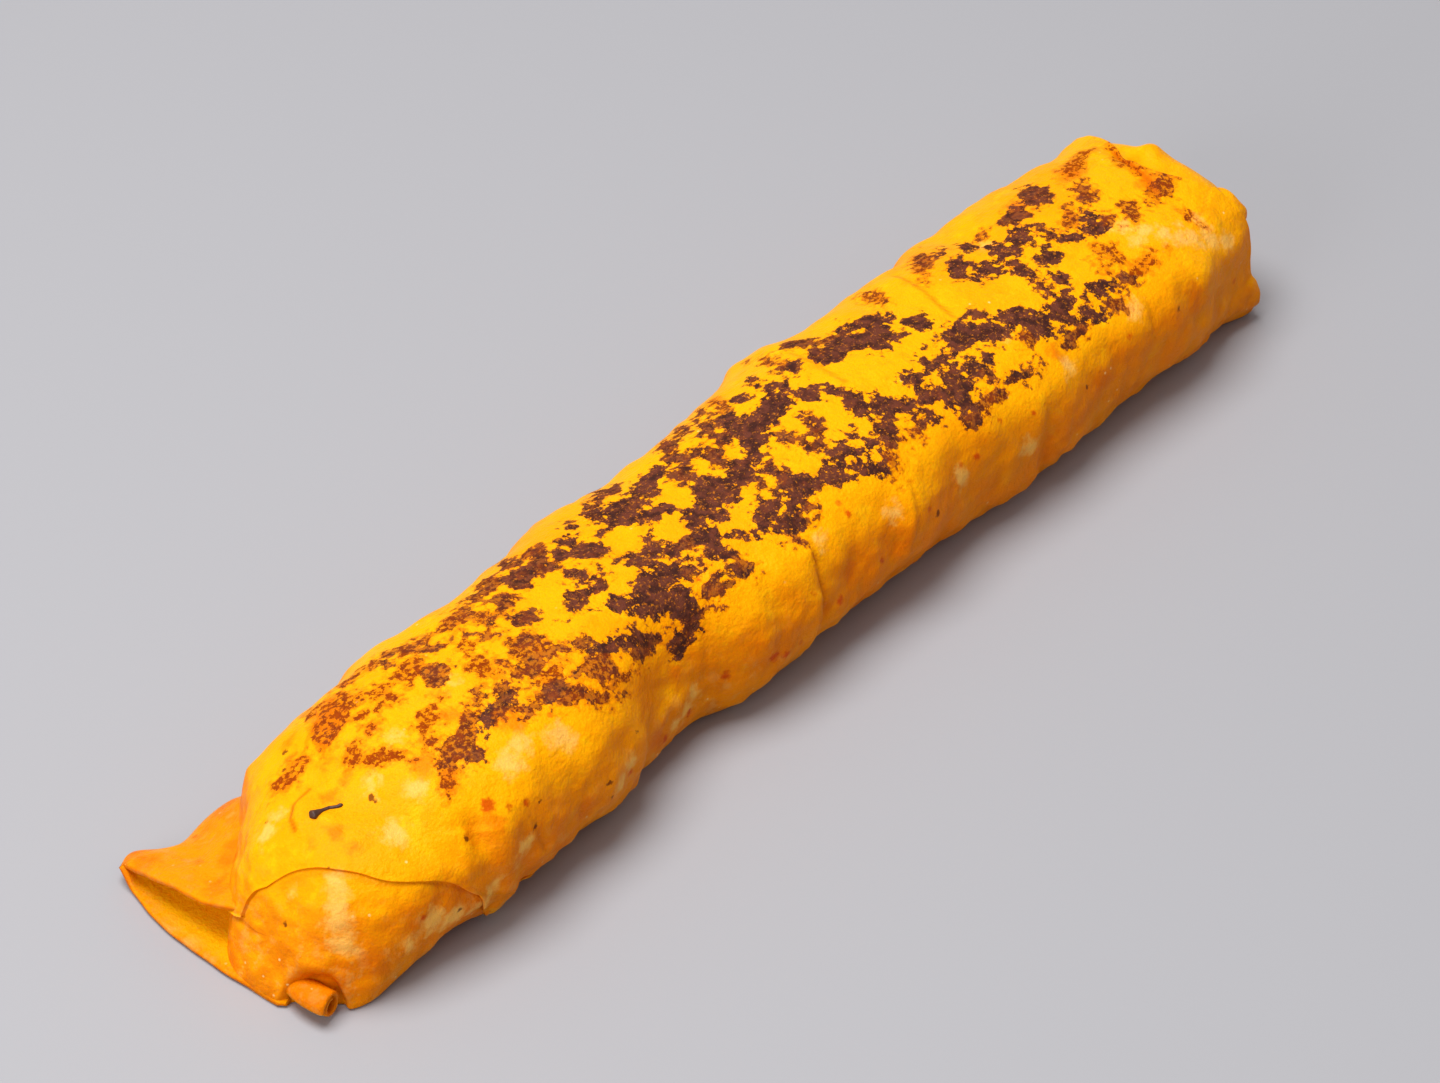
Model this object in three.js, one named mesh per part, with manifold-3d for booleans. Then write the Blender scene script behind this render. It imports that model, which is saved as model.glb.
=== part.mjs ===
// A rolled shawarma wrap: one sheet of thin flatbread rolled round its filling, griddled on top.
// Millimetres, +Z up. The roll lies along X and rests on z = 0. The near end (-X) is folded shut on
// one half and left as a flattened, open corner on the other; the far end (+X) is tucked in.
// The origin is on the table, under the middle of the roll's centre line.
import * as THREE from "three";
import { mergeVertices } from "three/addons/utils/BufferGeometryUtils.js";
import Module from "manifold-3d";

// ---- Driving dimensions ----
const ROLL_LENGTH = 262;
const ROLL_LEFT = 24.6; // from the centre line to the left flank (+Y)
const ROLL_RIGHT = 23.6; // from the centre line to the right flank (-Y)
const ROLL_HEIGHT = 31;
const SHEET = 1.1; // thickness of the flatbread

const HALF_LENGTH = ROLL_LENGTH / 2;
const NEAR = -HALF_LENGTH;
const FAR = HALF_LENGTH;
const DEGREE = Math.PI / 180;

// ---- Small helpers ----
const clamp = (v, low, high) => Math.min(high, Math.max(low, v));
const mix = (a, b, t) => a + (b - a) * t;
const swell = (x, at, width) => Math.exp(-(((x - at) / width) ** 2));

function smooth(from, to, x) {
  const t = clamp((x - from) / (to - from), 0, 1);
  return t * t * (3 - 2 * t);
}

// Holds z above a floor, with a rounded meeting of the two that is "blend" high on either side.
function rest(z, floor, blend) {
  const up = z - floor;
  if (up >= blend) return z;
  if (up <= -blend) return floor;
  return floor + (up + blend) ** 2 / (4 * blend);
}

function cellValue(i, j, k) {
  const s = Math.sin(i * 127.1 + j * 311.7 + k * 74.7) * 43758.5453;
  return 2 * (s - Math.floor(s)) - 1;
}

// Smooth random lumps of about one unit across, from -1 to 1.
function lumps(x, y, z) {
  const [i, j, k] = [Math.floor(x), Math.floor(y), Math.floor(z)];
  const [u, v, w] = [smooth(0, 1, x - i), smooth(0, 1, y - j), smooth(0, 1, z - k)];
  const edge = (b, c) => mix(cellValue(i, j + b, k + c), cellValue(i + 1, j + b, k + c), u);
  return mix(mix(edge(0, 0), edge(1, 0), v), mix(edge(0, 1), edge(1, 1), v), w);
}

// ---- The roll's outline along its length ----
// Where the filling stands out or the roll is pinched: place along X, how far out, how wide.
const LEFT_BULGES = [
  { at: -74, out: 2.2, wide: 8 },
  { at: -54, out: -0.8, wide: 10 },
  { at: -30, out: 1.0, wide: 6 },
  { at: -14, out: -0.9, wide: 7 },
  { at: 10, out: 0.6, wide: 8 },
  { at: 32, out: 3.4, wide: 9 },
  { at: 52, out: -0.6, wide: 7 },
  { at: 80, out: 1.9, wide: 6 },
];
const RIGHT_BULGES = [
  { at: -84, out: 0.9, wide: 12 },
  { at: -40, out: -6.8, wide: 14 },
  { at: 21, out: 1.9, wide: 9 },
  { at: 84, out: 3.2, wide: 34 },
  { at: 106, out: 1.2, wide: 7 },
];
const TOP_BULGES = [
  { at: -60, out: 0.7, wide: 16 },
  { at: -15, out: -0.8, wide: 12 },
  { at: 30, out: 0.8, wide: 22 },
];
const bulgesAt = (list, x) => list.reduce((sum, b) => sum + b.out * swell(x, b.at, b.wide), 0);

// How much the roll narrows towards each end, and over which stretch.
const LEFT_TAPER = { near: 13, nearFrom: -130, nearTo: -106, far: 2.6, farFrom: 92, farTo: 126 };
const RIGHT_TAPER = { near: 1.6, nearFrom: -128, nearTo: -100, far: 2.2, farFrom: 118, farTo: 134 };
const TOP_TAPER = { near: 6.2, nearFrom: -128, nearTo: -82, far: 0.8, farFrom: 100, farTo: 134 };
function taperAt(t, x) {
  return t.near * (1 - smooth(t.nearFrom, t.nearTo, x)) + t.far * smooth(t.farFrom, t.farTo, x);
}

const leftFlank = (x) => ROLL_LEFT + bulgesAt(LEFT_BULGES, x) - taperAt(LEFT_TAPER, x);
const rightFlank = (x) => ROLL_RIGHT + bulgesAt(RIGHT_BULGES, x) - taperAt(RIGHT_TAPER, x);
const rollHeight = (x) => ROLL_HEIGHT + bulgesAt(TOP_BULGES, x) - taperAt(TOP_TAPER, x);

// How far each end has closed: 1 on the open stretch, 0 at the end's middle.
const NEAR_CAP = 10;
const FAR_CAP = 9;
const CAP_SQUARENESS = 2.8;
function opening(x, near, far) {
  const past = Math.max((near + NEAR_CAP - x) / NEAR_CAP, (x - far + FAR_CAP) / FAR_CAP, 0);
  return (1 - Math.min(past, 1) ** CAP_SQUARENESS) ** (1 / CAP_SQUARENESS);
}

// The filling pushes the sheet out in soft lumps, more on the flanks than on the pressed top.
function relief(x, y, z) {
  const pressed = mix(1, 0.45, smooth(22, 29, z));
  const broad = 0.85 * lumps(x / 15 + 3, y / 13, z / 12);
  const fine = 0.4 * lumps(x / 7, y / 7 + 5, z / 7);
  return pressed * (broad + fine);
}

// Pleats on the right flank, where the sheet has buckled upright: place along the roll and depth.
const PLEATS = [
  { x: -7.5, deep: 1.3, wide: 2.6 },
  { x: -52, deep: 1.0, wide: 5 },
  { x: -88, deep: 1.1, wide: 6 },
  { x: 58, deep: 0.8, wide: 4 },
];
function pleats(x, angle) {
  const flank = smooth(150, 172, angle) * (1 - smooth(205, 222, angle));
  const folded = (p) => p.deep * (swell(x, p.x - p.wide / 2, p.wide) - 1.2 * swell(x, p.x, p.wide / 2));
  return flank * PLEATS.reduce((sum, p) => sum + folded(p), 0);
}

// The pinched corner that stands out low on the right of the far end.
function farCorner(x, angle) {
  const low = smooth(188, 203, angle) * (1 - smooth(209, 226, angle));
  return 3.4 * low * smooth(118, 131, x);
}

// The far end is shut like a parcel: two tucked sides under a flap that comes down from the top.
const FAR_FOLD = 1.3;
const FAR_HOLLOW = 2.2;
function farFolds(y, z) {
  const flapEdge = 7.5 + 0.032 * (y + 3) ** 2;
  const flap = smooth(flapEdge - 0.6, flapEdge + 0.6, z);
  const leftTuck = smooth(2, 3.4, y - 0.55 * z);
  const rightTuck = smooth(4.5, 5.9, -y - 0.7 * z);
  const hollow = FAR_HOLLOW * swell(Math.hypot(y, z - 13), 0, 12);
  return FAR_FOLD * (flap + 0.7 * leftTuck + 0.7 * rightTuck) - hollow;
}

// One point of the roll's skin. "grow" moves the skin out; the ends' planes lean back at the top.
const SQUARENESS = 2.6;
const BELLY = 0.45; // level of the widest point, as a share of the height
const SAG = 3.2; // how far the round underside would reach below the table
const NOSE_SAG = 4.6; // how much flatter the near end sits
const NEAR_LEAN = 0.45;
const FAR_LEAN = 0.1;
const NEAR_SKEW = 0.55; // how fast the near end falls back towards the right flank
const SKEW_FROM = -9;
function skin(x, angle, grow, floor, near, far) {
  const left = leftFlank(x) + grow;
  const right = rightFlank(x) + grow;
  const height = rollHeight(x) + grow;
  const [c, s] = [Math.cos(angle * DEGREE), Math.sin(angle * DEGREE)];
  const middle = (left - right) / 2;
  const belly = BELLY * height;
  const across = (left + right) / 2;
  const sag = SAG + NOSE_SAG * (1 - smooth(-128, -104, x));
  const upright = s > 0 ? height - belly : belly + sag;
  const r = (Math.abs(c / across) ** SQUARENESS + Math.abs(s / upright) ** SQUARENESS) ** (-1 / SQUARENESS);
  const bulge = relief(x, middle + r * c, belly + r * s) + pleats(x, angle) + farCorner(x, angle);
  const closed = opening(x, near, far);
  const radius = (r + bulge) * closed;
  const y = mix(middle * 0.3, middle, closed) + radius * c;
  const z = rest(mix(0.42 * height, belly, closed) + radius * s, floor, 1.2);
  const atNearEnd = 1 - smooth(-126, -92, x);
  const lean = NEAR_LEAN * atNearEnd - FAR_LEAN * smooth(100, 128, x);
  const skew = NEAR_SKEW * atNearEnd * Math.max(SKEW_FROM - y, 0);
  const folds = x > 0 ? smooth(0.02, 0.3, 1 - closed) * farFolds(y, z) : 0;
  return new THREE.Vector3(x + lean * z + skew + folds, y, z);
}

// ---- Closed lofts ----
// Rings of equal count become one closed surface, with a fan over each end.
function loft(rings) {
  const count = rings[0].length;
  const middle = (ring) => ring.reduce((sum, p) => sum.add(p), new THREE.Vector3()).divideScalar(count);
  const points = [...rings.flat(), middle(rings[0]), middle(rings[rings.length - 1])];
  const [first, last] = [points.length - 2, points.length - 1];
  const index = [];
  for (let k = 0; k < count; k++) {
    const next = (k + 1) % count;
    index.push(first, next, k);
    for (let i = 0; i + 1 < rings.length; i++) {
      const [a, b] = [i * count + k, i * count + next];
      index.push(a, b, a + count, b, b + count, a + count);
    }
    index.push(last, (rings.length - 1) * count + k, (rings.length - 1) * count + next);
  }
  const geometry = new THREE.BufferGeometry();
  geometry.setAttribute("position", new THREE.Float32BufferAttribute(points.flatMap((p) => p.toArray()), 3));
  geometry.setIndex(index);
  return geometry;
}

const span = (count, make) => Array.from({ length: count }, (_, i) => make(i / (count - 1)));
const around = (count, make) => Array.from({ length: count }, (_, k) => make((360 * k) / count));

// ---- The inner turn, seen at both ends ----
const CORE_FLOOR = 0.12;
const CORE_STEPS = 18;
const CORE_SIDES = 46;
const FAR_CORE = FAR + 5.5;
function innerTurn() {
  const place = (t, from, to) => mix(from, to, (1 - Math.cos(Math.PI * t)) / 2);
  const hidden = (x) => SHEET * smooth(-100, -88, x) * (1 - smooth(108, 118, x));
  const ring = (x) =>
    around(CORE_SIDES, (angle) => skin(x, angle, -SHEET, CORE_FLOOR + hidden(x), NEAR, FAR_CORE));
  return loft([
    ...span(CORE_STEPS, (t) => ring(place(t, NEAR + 0.05, -70))),
    ...span(CORE_STEPS, (t) => ring(place(t, 96, FAR_CORE - 0.05))),
  ]);
}

// ---- The outer turn: its cut edges sweep round the roll at both ends ----
const OUTER_STEPS = 58;
const OUTER_SIDES = 52;
const NEAR_TIP = NEAR - 0.4;
function nearEdge(angle) {
  const overTop = 4.2 * smooth(50, 135, angle);
  const downFlank = 38 * smooth(125, 205, angle) ** 1.5;
  const under = smooth(235, 325, angle);
  const leftBack = 10 * (1 - smooth(334, 360, angle));
  return NEAR_TIP + mix(overTop + downFlank, leftBack, under);
}

const farEdge = (angle) => FAR + 0.5 - 7.5 * swell(angle, 92, 36) - 2 * swell(angle, 240, 40);

function outerTurn() {
  const settle = 0.16; // share of the length over which the rings straighten
  const along = (t, angle) => {
    const even = mix(NEAR, FAR, t);
    const start = nearEdge(angle) + t * ROLL_LENGTH * 0.35;
    const end = farEdge(angle) - (1 - t) * ROLL_LENGTH * 0.35;
    return mix(mix(start, even, smooth(0, settle, t)), end, smooth(1 - settle, 1, t));
  };
  const ring = (t, grow) =>
    around(OUTER_SIDES, (angle) => skin(along(t, angle), angle, grow, 0, NEAR - 1, FAR + 9));
  const inside = (t, deep, shift) =>
    around(OUTER_SIDES, (angle) => {
      const p = skin(along(t, angle), angle, -deep, 1.5 + SHEET, NEAR - 1, FAR + 9);
      return p.setX(p.x + shift);
    });
  return loft([
    inside(0, 6, 9),
    inside(0, 2.6, 1.2),
    ...span(OUTER_STEPS, (t) => ring(t, 0)),
    inside(1, 2.6, -1.2),
    inside(1, 6, -9),
  ]);
}

// ---- The open corner at the left of the near end: a flattened sleeve of two layers ----
const EAR_BACK = -86; // its rear end, inside the roll
const EAR_STEPS = 18;
const EAR_SIDES = 14; // points on each layer
const EAR_TIP = 36.2; // how far left the fold reaches at the mouth
const EAR_INNER = -6; // its hidden side, under the folded end
const EAR_FLOOR = 0.2;

// The two lips of the mouth in plan: where each layer's edge lies at a given distance left.
const lowerLip = (y) => -130.4 + 0.0062 * Math.max(y - 5, 0) ** 2 + 0.35 * Math.max(-1 - y, 0) ** 2;
const upperLip = (y) => -126.4 + 0.02 * Math.max(14 - y, 0) ** 2 + 0.0062 * Math.max(y - 16, 0) ** 2;

function earOutline(x) {
  const flare = 6.2 * swell(x, -127, 6.5) + 2.4 * swell(x, -110, 8);
  const fold = EAR_TIP - 6 + flare - 5.5 * smooth(-108, EAR_BACK, x);
  const height = mix(8.6, 25, smooth(-126, -90, x));
  return { fold, height };
}

// One ring of the corner: along the lower layer from right to left, and back over the upper one.
function earRing(t, inset, reach) {
  const { fold, height } = earOutline(mix(-129, EAR_BACK, t));
  const width = fold - inset - EAR_INNER;
  const edge = (lip) => mix(lip - reach, EAR_BACK, t);
  const upper = (share) => {
    const out = share ** 1.6 * width;
    const roof = height * Math.min(out / (fold - 6), 1) ** 0.5;
    const y = fold - inset - out;
    return new THREE.Vector3(edge(upperLip(y)), y, EAR_FLOOR + 1 + Math.max(roof - inset, inset));
  };
  const lower = (share) => {
    const out = share ** 1.6 * width;
    const y = fold - inset - out;
    const tucked = 2.5 * smooth(-118, -106, mix(-129, EAR_BACK, t)) * smooth(10, 22, out);
    const raised = 1 - smooth(0, 3.5, out);
    return new THREE.Vector3(edge(lowerLip(y)), y, EAR_FLOOR + raised + tucked + inset);
  };
  const under = span(EAR_SIDES, (s) => lower(1 - s));
  const over = span(EAR_SIDES, upper).slice(1);
  return [...under, ...over];
}

const ear = () => loft(span(EAR_STEPS, (t) => earRing(t, 0, 0)));

// The hollow between the two layers, pinched towards its back.
const POCKET_DEPTH = 0.4; // share of the corner's length
function pocket() {
  const inset = (t) => mix(SHEET, SHEET * 1.7, smooth(0.3, 1, t));
  return loft(span(8, (t) => earRing(t * POCKET_DEPTH, inset(t), t === 0 ? 2 : 0)));
}

// ---- The rolled hem at the foot of the near end ----
const HEM_START = [-129.8, -5.2];
const HEM_END = [-126.2, -13.9];
const HEM_RADIUS = 2.15;
const HEM_NARROW = 0.75; // size at the start, as a share of that at the end
const HEM_TURNS = 1.25;
const HEM_TIGHTEN = 0.8; // how much the radius shrinks in a turn
const HEM_POINTS = 18;
function hem() {
  const spiral = (radius, turn) => {
    const a = turn * 2 * Math.PI;
    return new THREE.Vector2(-radius * Math.cos(a), radius * Math.sin(a));
  };
  const radiusAt = (turn) => HEM_RADIUS - HEM_TIGHTEN * turn;
  const strip = (t) => SHEET * mix(1, 0.6, t);
  const outer = span(HEM_POINTS, (t) => spiral(radiusAt(t * HEM_TURNS), t * HEM_TURNS));
  const inner = span(HEM_POINTS, (t) => spiral(radiusAt(t * HEM_TURNS) - strip(t), t * HEM_TURNS));
  const from = new THREE.Vector3(...HEM_START, 0);
  const to = new THREE.Vector3(...HEM_END, 0);
  const length = from.distanceTo(to);
  const shape = new THREE.Shape([...outer, ...inner.reverse()]);
  const geometry = new THREE.ExtrudeGeometry(shape, { depth: length, steps: 3, bevelEnabled: false });
  const place = geometry.attributes.position;
  for (let i = 0; i < place.count; i++) {
    const size = mix(HEM_NARROW, 1, place.getZ(i) / length);
    place.setXY(i, place.getX(i) * size, (place.getY(i) + HEM_RADIUS) * size + EAR_FLOOR);
  }
  const along = to.clone().sub(from).normalize();
  const up = new THREE.Vector3(0, 0, 1);
  const across = new THREE.Vector3().crossVectors(up, along);
  geometry.applyMatrix4(new THREE.Matrix4().makeBasis(across, up, along).setPosition(from));
  return geometry;
}

// ---- The knob of folded sheet high on the far end ----
const KNOB = { at: [FAR + 0.5, -12.5, 18.5], size: [6.4, 6.2, 5.6] };
function knob() {
  const [cx, cy, cz] = KNOB.at;
  const [lx, ly, lz] = KNOB.size;
  const ring = (t) => {
    const polar = mix(4, 176, t) * DEGREE;
    const wide = Math.sin(polar) ** 0.8;
    const x = cx - lx * Math.cos(polar);
    return around(20, (angle) => {
      const [c, s] = [Math.cos(angle * DEGREE), Math.sin(angle * DEGREE)];
      const furrow = 1 - 0.16 * swell(angle, 70, 22) - 0.12 * swell(angle, 200, 30);
      return new THREE.Vector3(x, cy + ly * wide * c * furrow, cz + lz * wide * s * furrow);
    });
  };
  return loft(span(12, ring));
}

// ---- Joining ----
const WELD = 1e-3; // vertices closer than this are one
const wasm = await Module();
wasm.setup();

function solid(geometry) {
  const bare = geometry.clone();
  bare.deleteAttribute("normal");
  bare.deleteAttribute("uv");
  const merged = mergeVertices(bare, WELD);
  return new wasm.Manifold(
    new wasm.Mesh({
      numProp: 3,
      vertProperties: merged.attributes.position.array,
      triVerts: new Uint32Array(merged.index.array),
    }),
  );
}

function geometryOf(manifold) {
  const { vertProperties, triVerts } = manifold.getMesh();
  const geometry = new THREE.BufferGeometry();
  geometry.setAttribute("position", new THREE.BufferAttribute(vertProperties, 3));
  geometry.setIndex(new THREE.BufferAttribute(triVerts, 1));
  return geometry;
}

// Joining seals a few hairline gaps between the layers; only the outer body is kept, so they fill.
function wrapSolid() {
  const corner = solid(ear()).subtract(solid(pocket()));
  const joined = [innerTurn, outerTurn, hem, knob].reduce((whole, make) => whole.add(solid(make())), corner);
  const bodies = solid(geometryOf(joined)).decompose();
  return bodies.reduce((best, body) => (body.volume() > best.volume() ? body : best));
}

const griddledFlatbread = new THREE.MeshStandardMaterial({ color: 0xf2a21c, roughness: 0.55, metalness: 0 });

const root = new THREE.Group();
const wrap = new THREE.Mesh(geometryOf(wrapSolid()), griddledFlatbread);
wrap.geometry.computeVertexNormals();
wrap.name = "wrap";
root.add(wrap);

export default root;
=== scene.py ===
"""A rolled shawarma wrap: thin flatbread rolled round its filling and griddled on top.

The pieces are modelled in millimetres, in the CAD frame, and made metres when a mesh is written.
The roll lies along X and rests on z = 0, its open corner towards -X and its left flank at +Y.
"""
import math

import bpy
import numpy as np
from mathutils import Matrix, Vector


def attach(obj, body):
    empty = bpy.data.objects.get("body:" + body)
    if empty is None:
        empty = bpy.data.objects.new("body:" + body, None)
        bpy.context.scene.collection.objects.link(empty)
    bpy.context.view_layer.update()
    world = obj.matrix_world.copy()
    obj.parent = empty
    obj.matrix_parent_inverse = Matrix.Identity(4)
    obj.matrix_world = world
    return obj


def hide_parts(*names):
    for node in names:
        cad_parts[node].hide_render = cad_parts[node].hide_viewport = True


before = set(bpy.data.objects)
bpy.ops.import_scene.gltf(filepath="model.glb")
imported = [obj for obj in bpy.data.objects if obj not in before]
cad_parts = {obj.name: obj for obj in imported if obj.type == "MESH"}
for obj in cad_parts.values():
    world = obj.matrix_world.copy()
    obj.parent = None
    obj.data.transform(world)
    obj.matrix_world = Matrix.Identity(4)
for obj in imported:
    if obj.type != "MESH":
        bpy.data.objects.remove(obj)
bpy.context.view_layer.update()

# ---- Sizes in millimetres, the same as the solids' ----
ROLL_LENGTH = 262
ROLL_LEFT = 24.6
ROLL_RIGHT = 23.6
ROLL_HEIGHT = 31
SHEET = 1.1
NEAR = -ROLL_LENGTH / 2
FAR = ROLL_LENGTH / 2


# ---- Small helpers ----
def mix(a, b, t):
    return a + (b - a) * t


def swell(x, at, width):
    return np.exp(-(((x - at) / width) ** 2))


def smooth(start, end, x):
    t = np.clip((x - start) / (end - start), 0, 1)
    return t * t * (3 - 2 * t)


def rest(z, floor, blend):
    """Holds z above a floor, with a rounded meeting of the two."""
    up = z - floor
    eased = floor + (up + blend) ** 2 / (4 * blend)
    return np.where(up >= blend, z, np.where(up <= -blend, floor, eased))


def cell_value(i, j, k):
    s = np.sin(i * 127.1 + j * 311.7 + k * 74.7) * 43758.5453
    return 2 * (s - np.floor(s)) - 1


def lumps(x, y, z):
    """Smooth random lumps of about one unit across, from -1 to 1."""
    i, j, k = np.floor(x), np.floor(y), np.floor(z)
    u, v, w = smooth(0, 1, x - i), smooth(0, 1, y - j), smooth(0, 1, z - k)

    def edge(b, c):
        return mix(cell_value(i, j + b, k + c), cell_value(i + 1, j + b, k + c), u)

    return mix(mix(edge(0, 0), edge(1, 0), v), mix(edge(0, 1), edge(1, 1), v), w)


# ---- The roll's outline along its length: place, how far out, how wide ----
LEFT_BULGES = [
    (-74, 2.2, 8), (-54, -0.8, 10), (-30, 1.0, 6), (-14, -0.9, 7),
    (10, 0.6, 8), (32, 3.4, 9), (52, -0.6, 7), (80, 1.9, 6),
]
RIGHT_BULGES = [(-84, 0.9, 12), (-40, -6.8, 14), (21, 1.9, 9), (84, 3.2, 34), (106, 1.2, 7)]
TOP_BULGES = [(-60, 0.7, 16), (-15, -0.8, 12), (30, 0.8, 22)]
# How much it narrows towards each end, and over which stretch: near, from, to, far, from, to.
LEFT_TAPER = (13, -130, -106, 2.6, 92, 126)
RIGHT_TAPER = (1.6, -128, -100, 2.2, 118, 134)
TOP_TAPER = (6.2, -128, -82, 0.8, 100, 134)
# Folds across the right flank: place along, how deep, how wide.
PLEATS = [(-7.5, 0.9, 2.6), (-52, 0.5, 5), (-88, 1.1, 6), (58, 0.8, 4)]


def side(base, bulges, taper, x):
    near, near_from, near_to, far, far_from, far_to = taper
    out = base + sum(o * swell(x, at, w) for at, o, w in bulges)
    return out - near * (1 - smooth(near_from, near_to, x)) - far * smooth(far_from, far_to, x)


NEAR_CAP = 10
FAR_CAP = 9
CAP_SQUARENESS = 2.8


def opening(x, near, far):
    """How far each end has closed: 1 on the open stretch, 0 at the end's middle."""
    past = np.maximum(np.maximum((near + NEAR_CAP - x) / NEAR_CAP, (x - far + FAR_CAP) / FAR_CAP), 0)
    return (1 - np.minimum(past, 1) ** CAP_SQUARENESS) ** (1 / CAP_SQUARENESS)


def relief(x, y, z):
    """The filling pushes the sheet out in soft lumps, more on the flanks than on the pressed top."""
    pressed = mix(1, 0.45, smooth(22, 29, z))
    broad = 0.85 * lumps(x / 15 + 3, y / 13, z / 12)
    fine = 0.4 * lumps(x / 7, y / 7 + 5, z / 7)
    return pressed * (broad + fine)


def pleats(x, angle):
    flank = smooth(150, 172, angle) * (1 - smooth(205, 222, angle))
    folded = sum(d * (swell(x, at - w / 2, w) - 1.2 * swell(x, at, w / 2)) for at, d, w in PLEATS)
    return flank * folded


FAR_CORNER = 3.4


def far_corner(x, angle):
    """The pinched corner low on the right of the far end."""
    low = smooth(188, 203, angle) * (1 - smooth(209, 226, angle))
    return FAR_CORNER * low * smooth(118, 131, x)


def far_folds(y, z):
    """Two tucked sides under a flap that comes down from the top."""
    flap_edge = 7.5 + 0.032 * (y + 3) ** 2
    flap = smooth(flap_edge - 0.6, flap_edge + 0.6, z)
    left_tuck = smooth(2, 3.4, y - 0.55 * z)
    right_tuck = smooth(4.5, 5.9, -y - 0.7 * z)
    hollow = 2.2 * swell(np.hypot(y, z - 13), 0, 12)
    return 1.3 * (flap + 0.7 * left_tuck + 0.7 * right_tuck) - hollow


# The section: how square it is, and how high its widest place and the middle of each end lie.
SQUARENESS = 2.6
BELLY = 0.45
END_MIDDLE = 0.42
# How far it sags below the floor before it is laid flat, how much more at the near end, and how
# softly it meets the floor.
SAG = 3.2
NOSE_SAG = 4.6
FOOT_BLEND = 1.2
# How the near end leans and turns back on its right, and the far end leans.
NEAR_LEAN = 0.45
FAR_LEAN = 0.1
NEAR_SKEW = 0.55
SKEW_FROM = -9.5
SKEW_BLEND = 2.2

# How much the foot of the right flank draws in under the roll: place along, how much, how long.
TUCKS = [
    (-121, 0.9, 9), (-103, 1.1, 12), (-84, 0.5, 9), (-70, 0.6, 9), (0, 1.6, 14), (19, 1.2, 7),
    (30, 0.5, 14), (73, 0.8, 5), (88, 1.0, 8), (102, 1.6, 5),
]
# Where the flank stands out more than its outline: place along, how much, how long.
FILLED = [(-42, 2.7, 7.5), (-26, 0.9, 6)]


def tucked_foot(x, angle):
    low = smooth(180, 202, angle) * (1 - smooth(232, 255, angle))
    flank = smooth(160, 186, angle) * (1 - smooth(228, 250, angle))
    drawn_in = low * sum(much * swell(x, at, long) for at, much, long in TUCKS)
    return drawn_in - flank * sum(much * swell(x, at, long) for at, much, long in FILLED)


def skin(x, angle, grow, floor, near, far):
    """Points of the roll's skin. Angle 0 is the left flank, 90 the top and 180 the right flank."""
    left = side(ROLL_LEFT, LEFT_BULGES, LEFT_TAPER, x) + grow
    right = side(ROLL_RIGHT, RIGHT_BULGES, RIGHT_TAPER, x) + grow
    height = side(ROLL_HEIGHT, TOP_BULGES, TOP_TAPER, x) + grow
    c, s = np.cos(np.radians(angle)), np.sin(np.radians(angle))
    middle = (left - right) / 2
    belly = BELLY * height
    across = (left + right) / 2
    sag = SAG + NOSE_SAG * (1 - smooth(-128, -104, x))
    upright = np.where(s > 0, height - belly, belly + sag)
    r = (abs(c / across) ** SQUARENESS + abs(s / upright) ** SQUARENESS) ** (-1 / SQUARENESS)
    bulge = relief(x, middle + r * c, belly + r * s)
    bulge = bulge + pleats(x, angle) + far_corner(x, angle) - tucked_foot(x, angle)
    closed = opening(x, near, far)
    radius = (r + bulge) * closed
    y = mix(middle * 0.3, middle, closed) + radius * c
    z = rest(mix(END_MIDDLE * height, belly, closed) + radius * s, floor, FOOT_BLEND)
    at_near_end = 1 - smooth(-126, -92, x)
    lean = NEAR_LEAN * at_near_end - FAR_LEAN * smooth(100, 128, x)
    beyond = SKEW_FROM - y
    skew = NEAR_SKEW * at_near_end * (beyond + np.sqrt(beyond**2 + SKEW_BLEND**2)) / 2
    folds = np.where(x > 0, smooth(0.02, 0.3, 1 - closed) * far_folds(y, z), 0)
    return np.stack([x + lean * z + skew + folds, y, z], -1)


# ---- Surface detail laid over the skin ----
def normals_of(grid):
    """Outward normals of a grid of rings, each ring closed."""
    along = np.gradient(grid, axis=0)
    around = np.roll(grid, -1, 1) - np.roll(grid, 1, 1)
    n = np.cross(around, along)
    return n / np.maximum(np.linalg.norm(n, axis=-1, keepdims=True), 1e-9)


def turned(x, y, z):
    """The same place in axes turned off the roll's own, so that lumps don't line up with it."""
    return 0.8 * x + 0.36 * y - 0.48 * z, -0.6 * x + 0.48 * y - 0.64 * z, 0.8 * y + 0.6 * z


def bread_relief(p):
    """Blisters and buckles of thin flatbread, in millimetres above the skin."""
    x, y, z = p[..., 0], p[..., 1], p[..., 2]
    a, b, c = turned(x, y, z)
    blisters = 0.26 * lumps(a / 6.5, b / 6.5, c / 6.5) + 0.13 * lumps(b / 3.1, c / 3.1, a / 3.1)
    grain = 0.055 * lumps(a / 1.6, c / 1.6, b / 1.6)
    flank = (1 - smooth(24, 30, z)) * smooth(2, 8, z)
    foot = (1 - smooth(15, 25, z)) * smooth(0.8, 4, z)
    rough = 0.3 * lumps(c / 2 + 9, a / 2, b / 2) + 0.32 * lumps(b / 4.2, a / 4.2 + 3, c / 4.2)
    buckles = 0.4 * lumps(x / 3.6, y / 9 + 7, z / 11) + 0.45 * lumps(x / 8 + 2, y / 12, z / 9 + 4)
    return blisters + grain + flank * buckles + foot * rough


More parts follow.
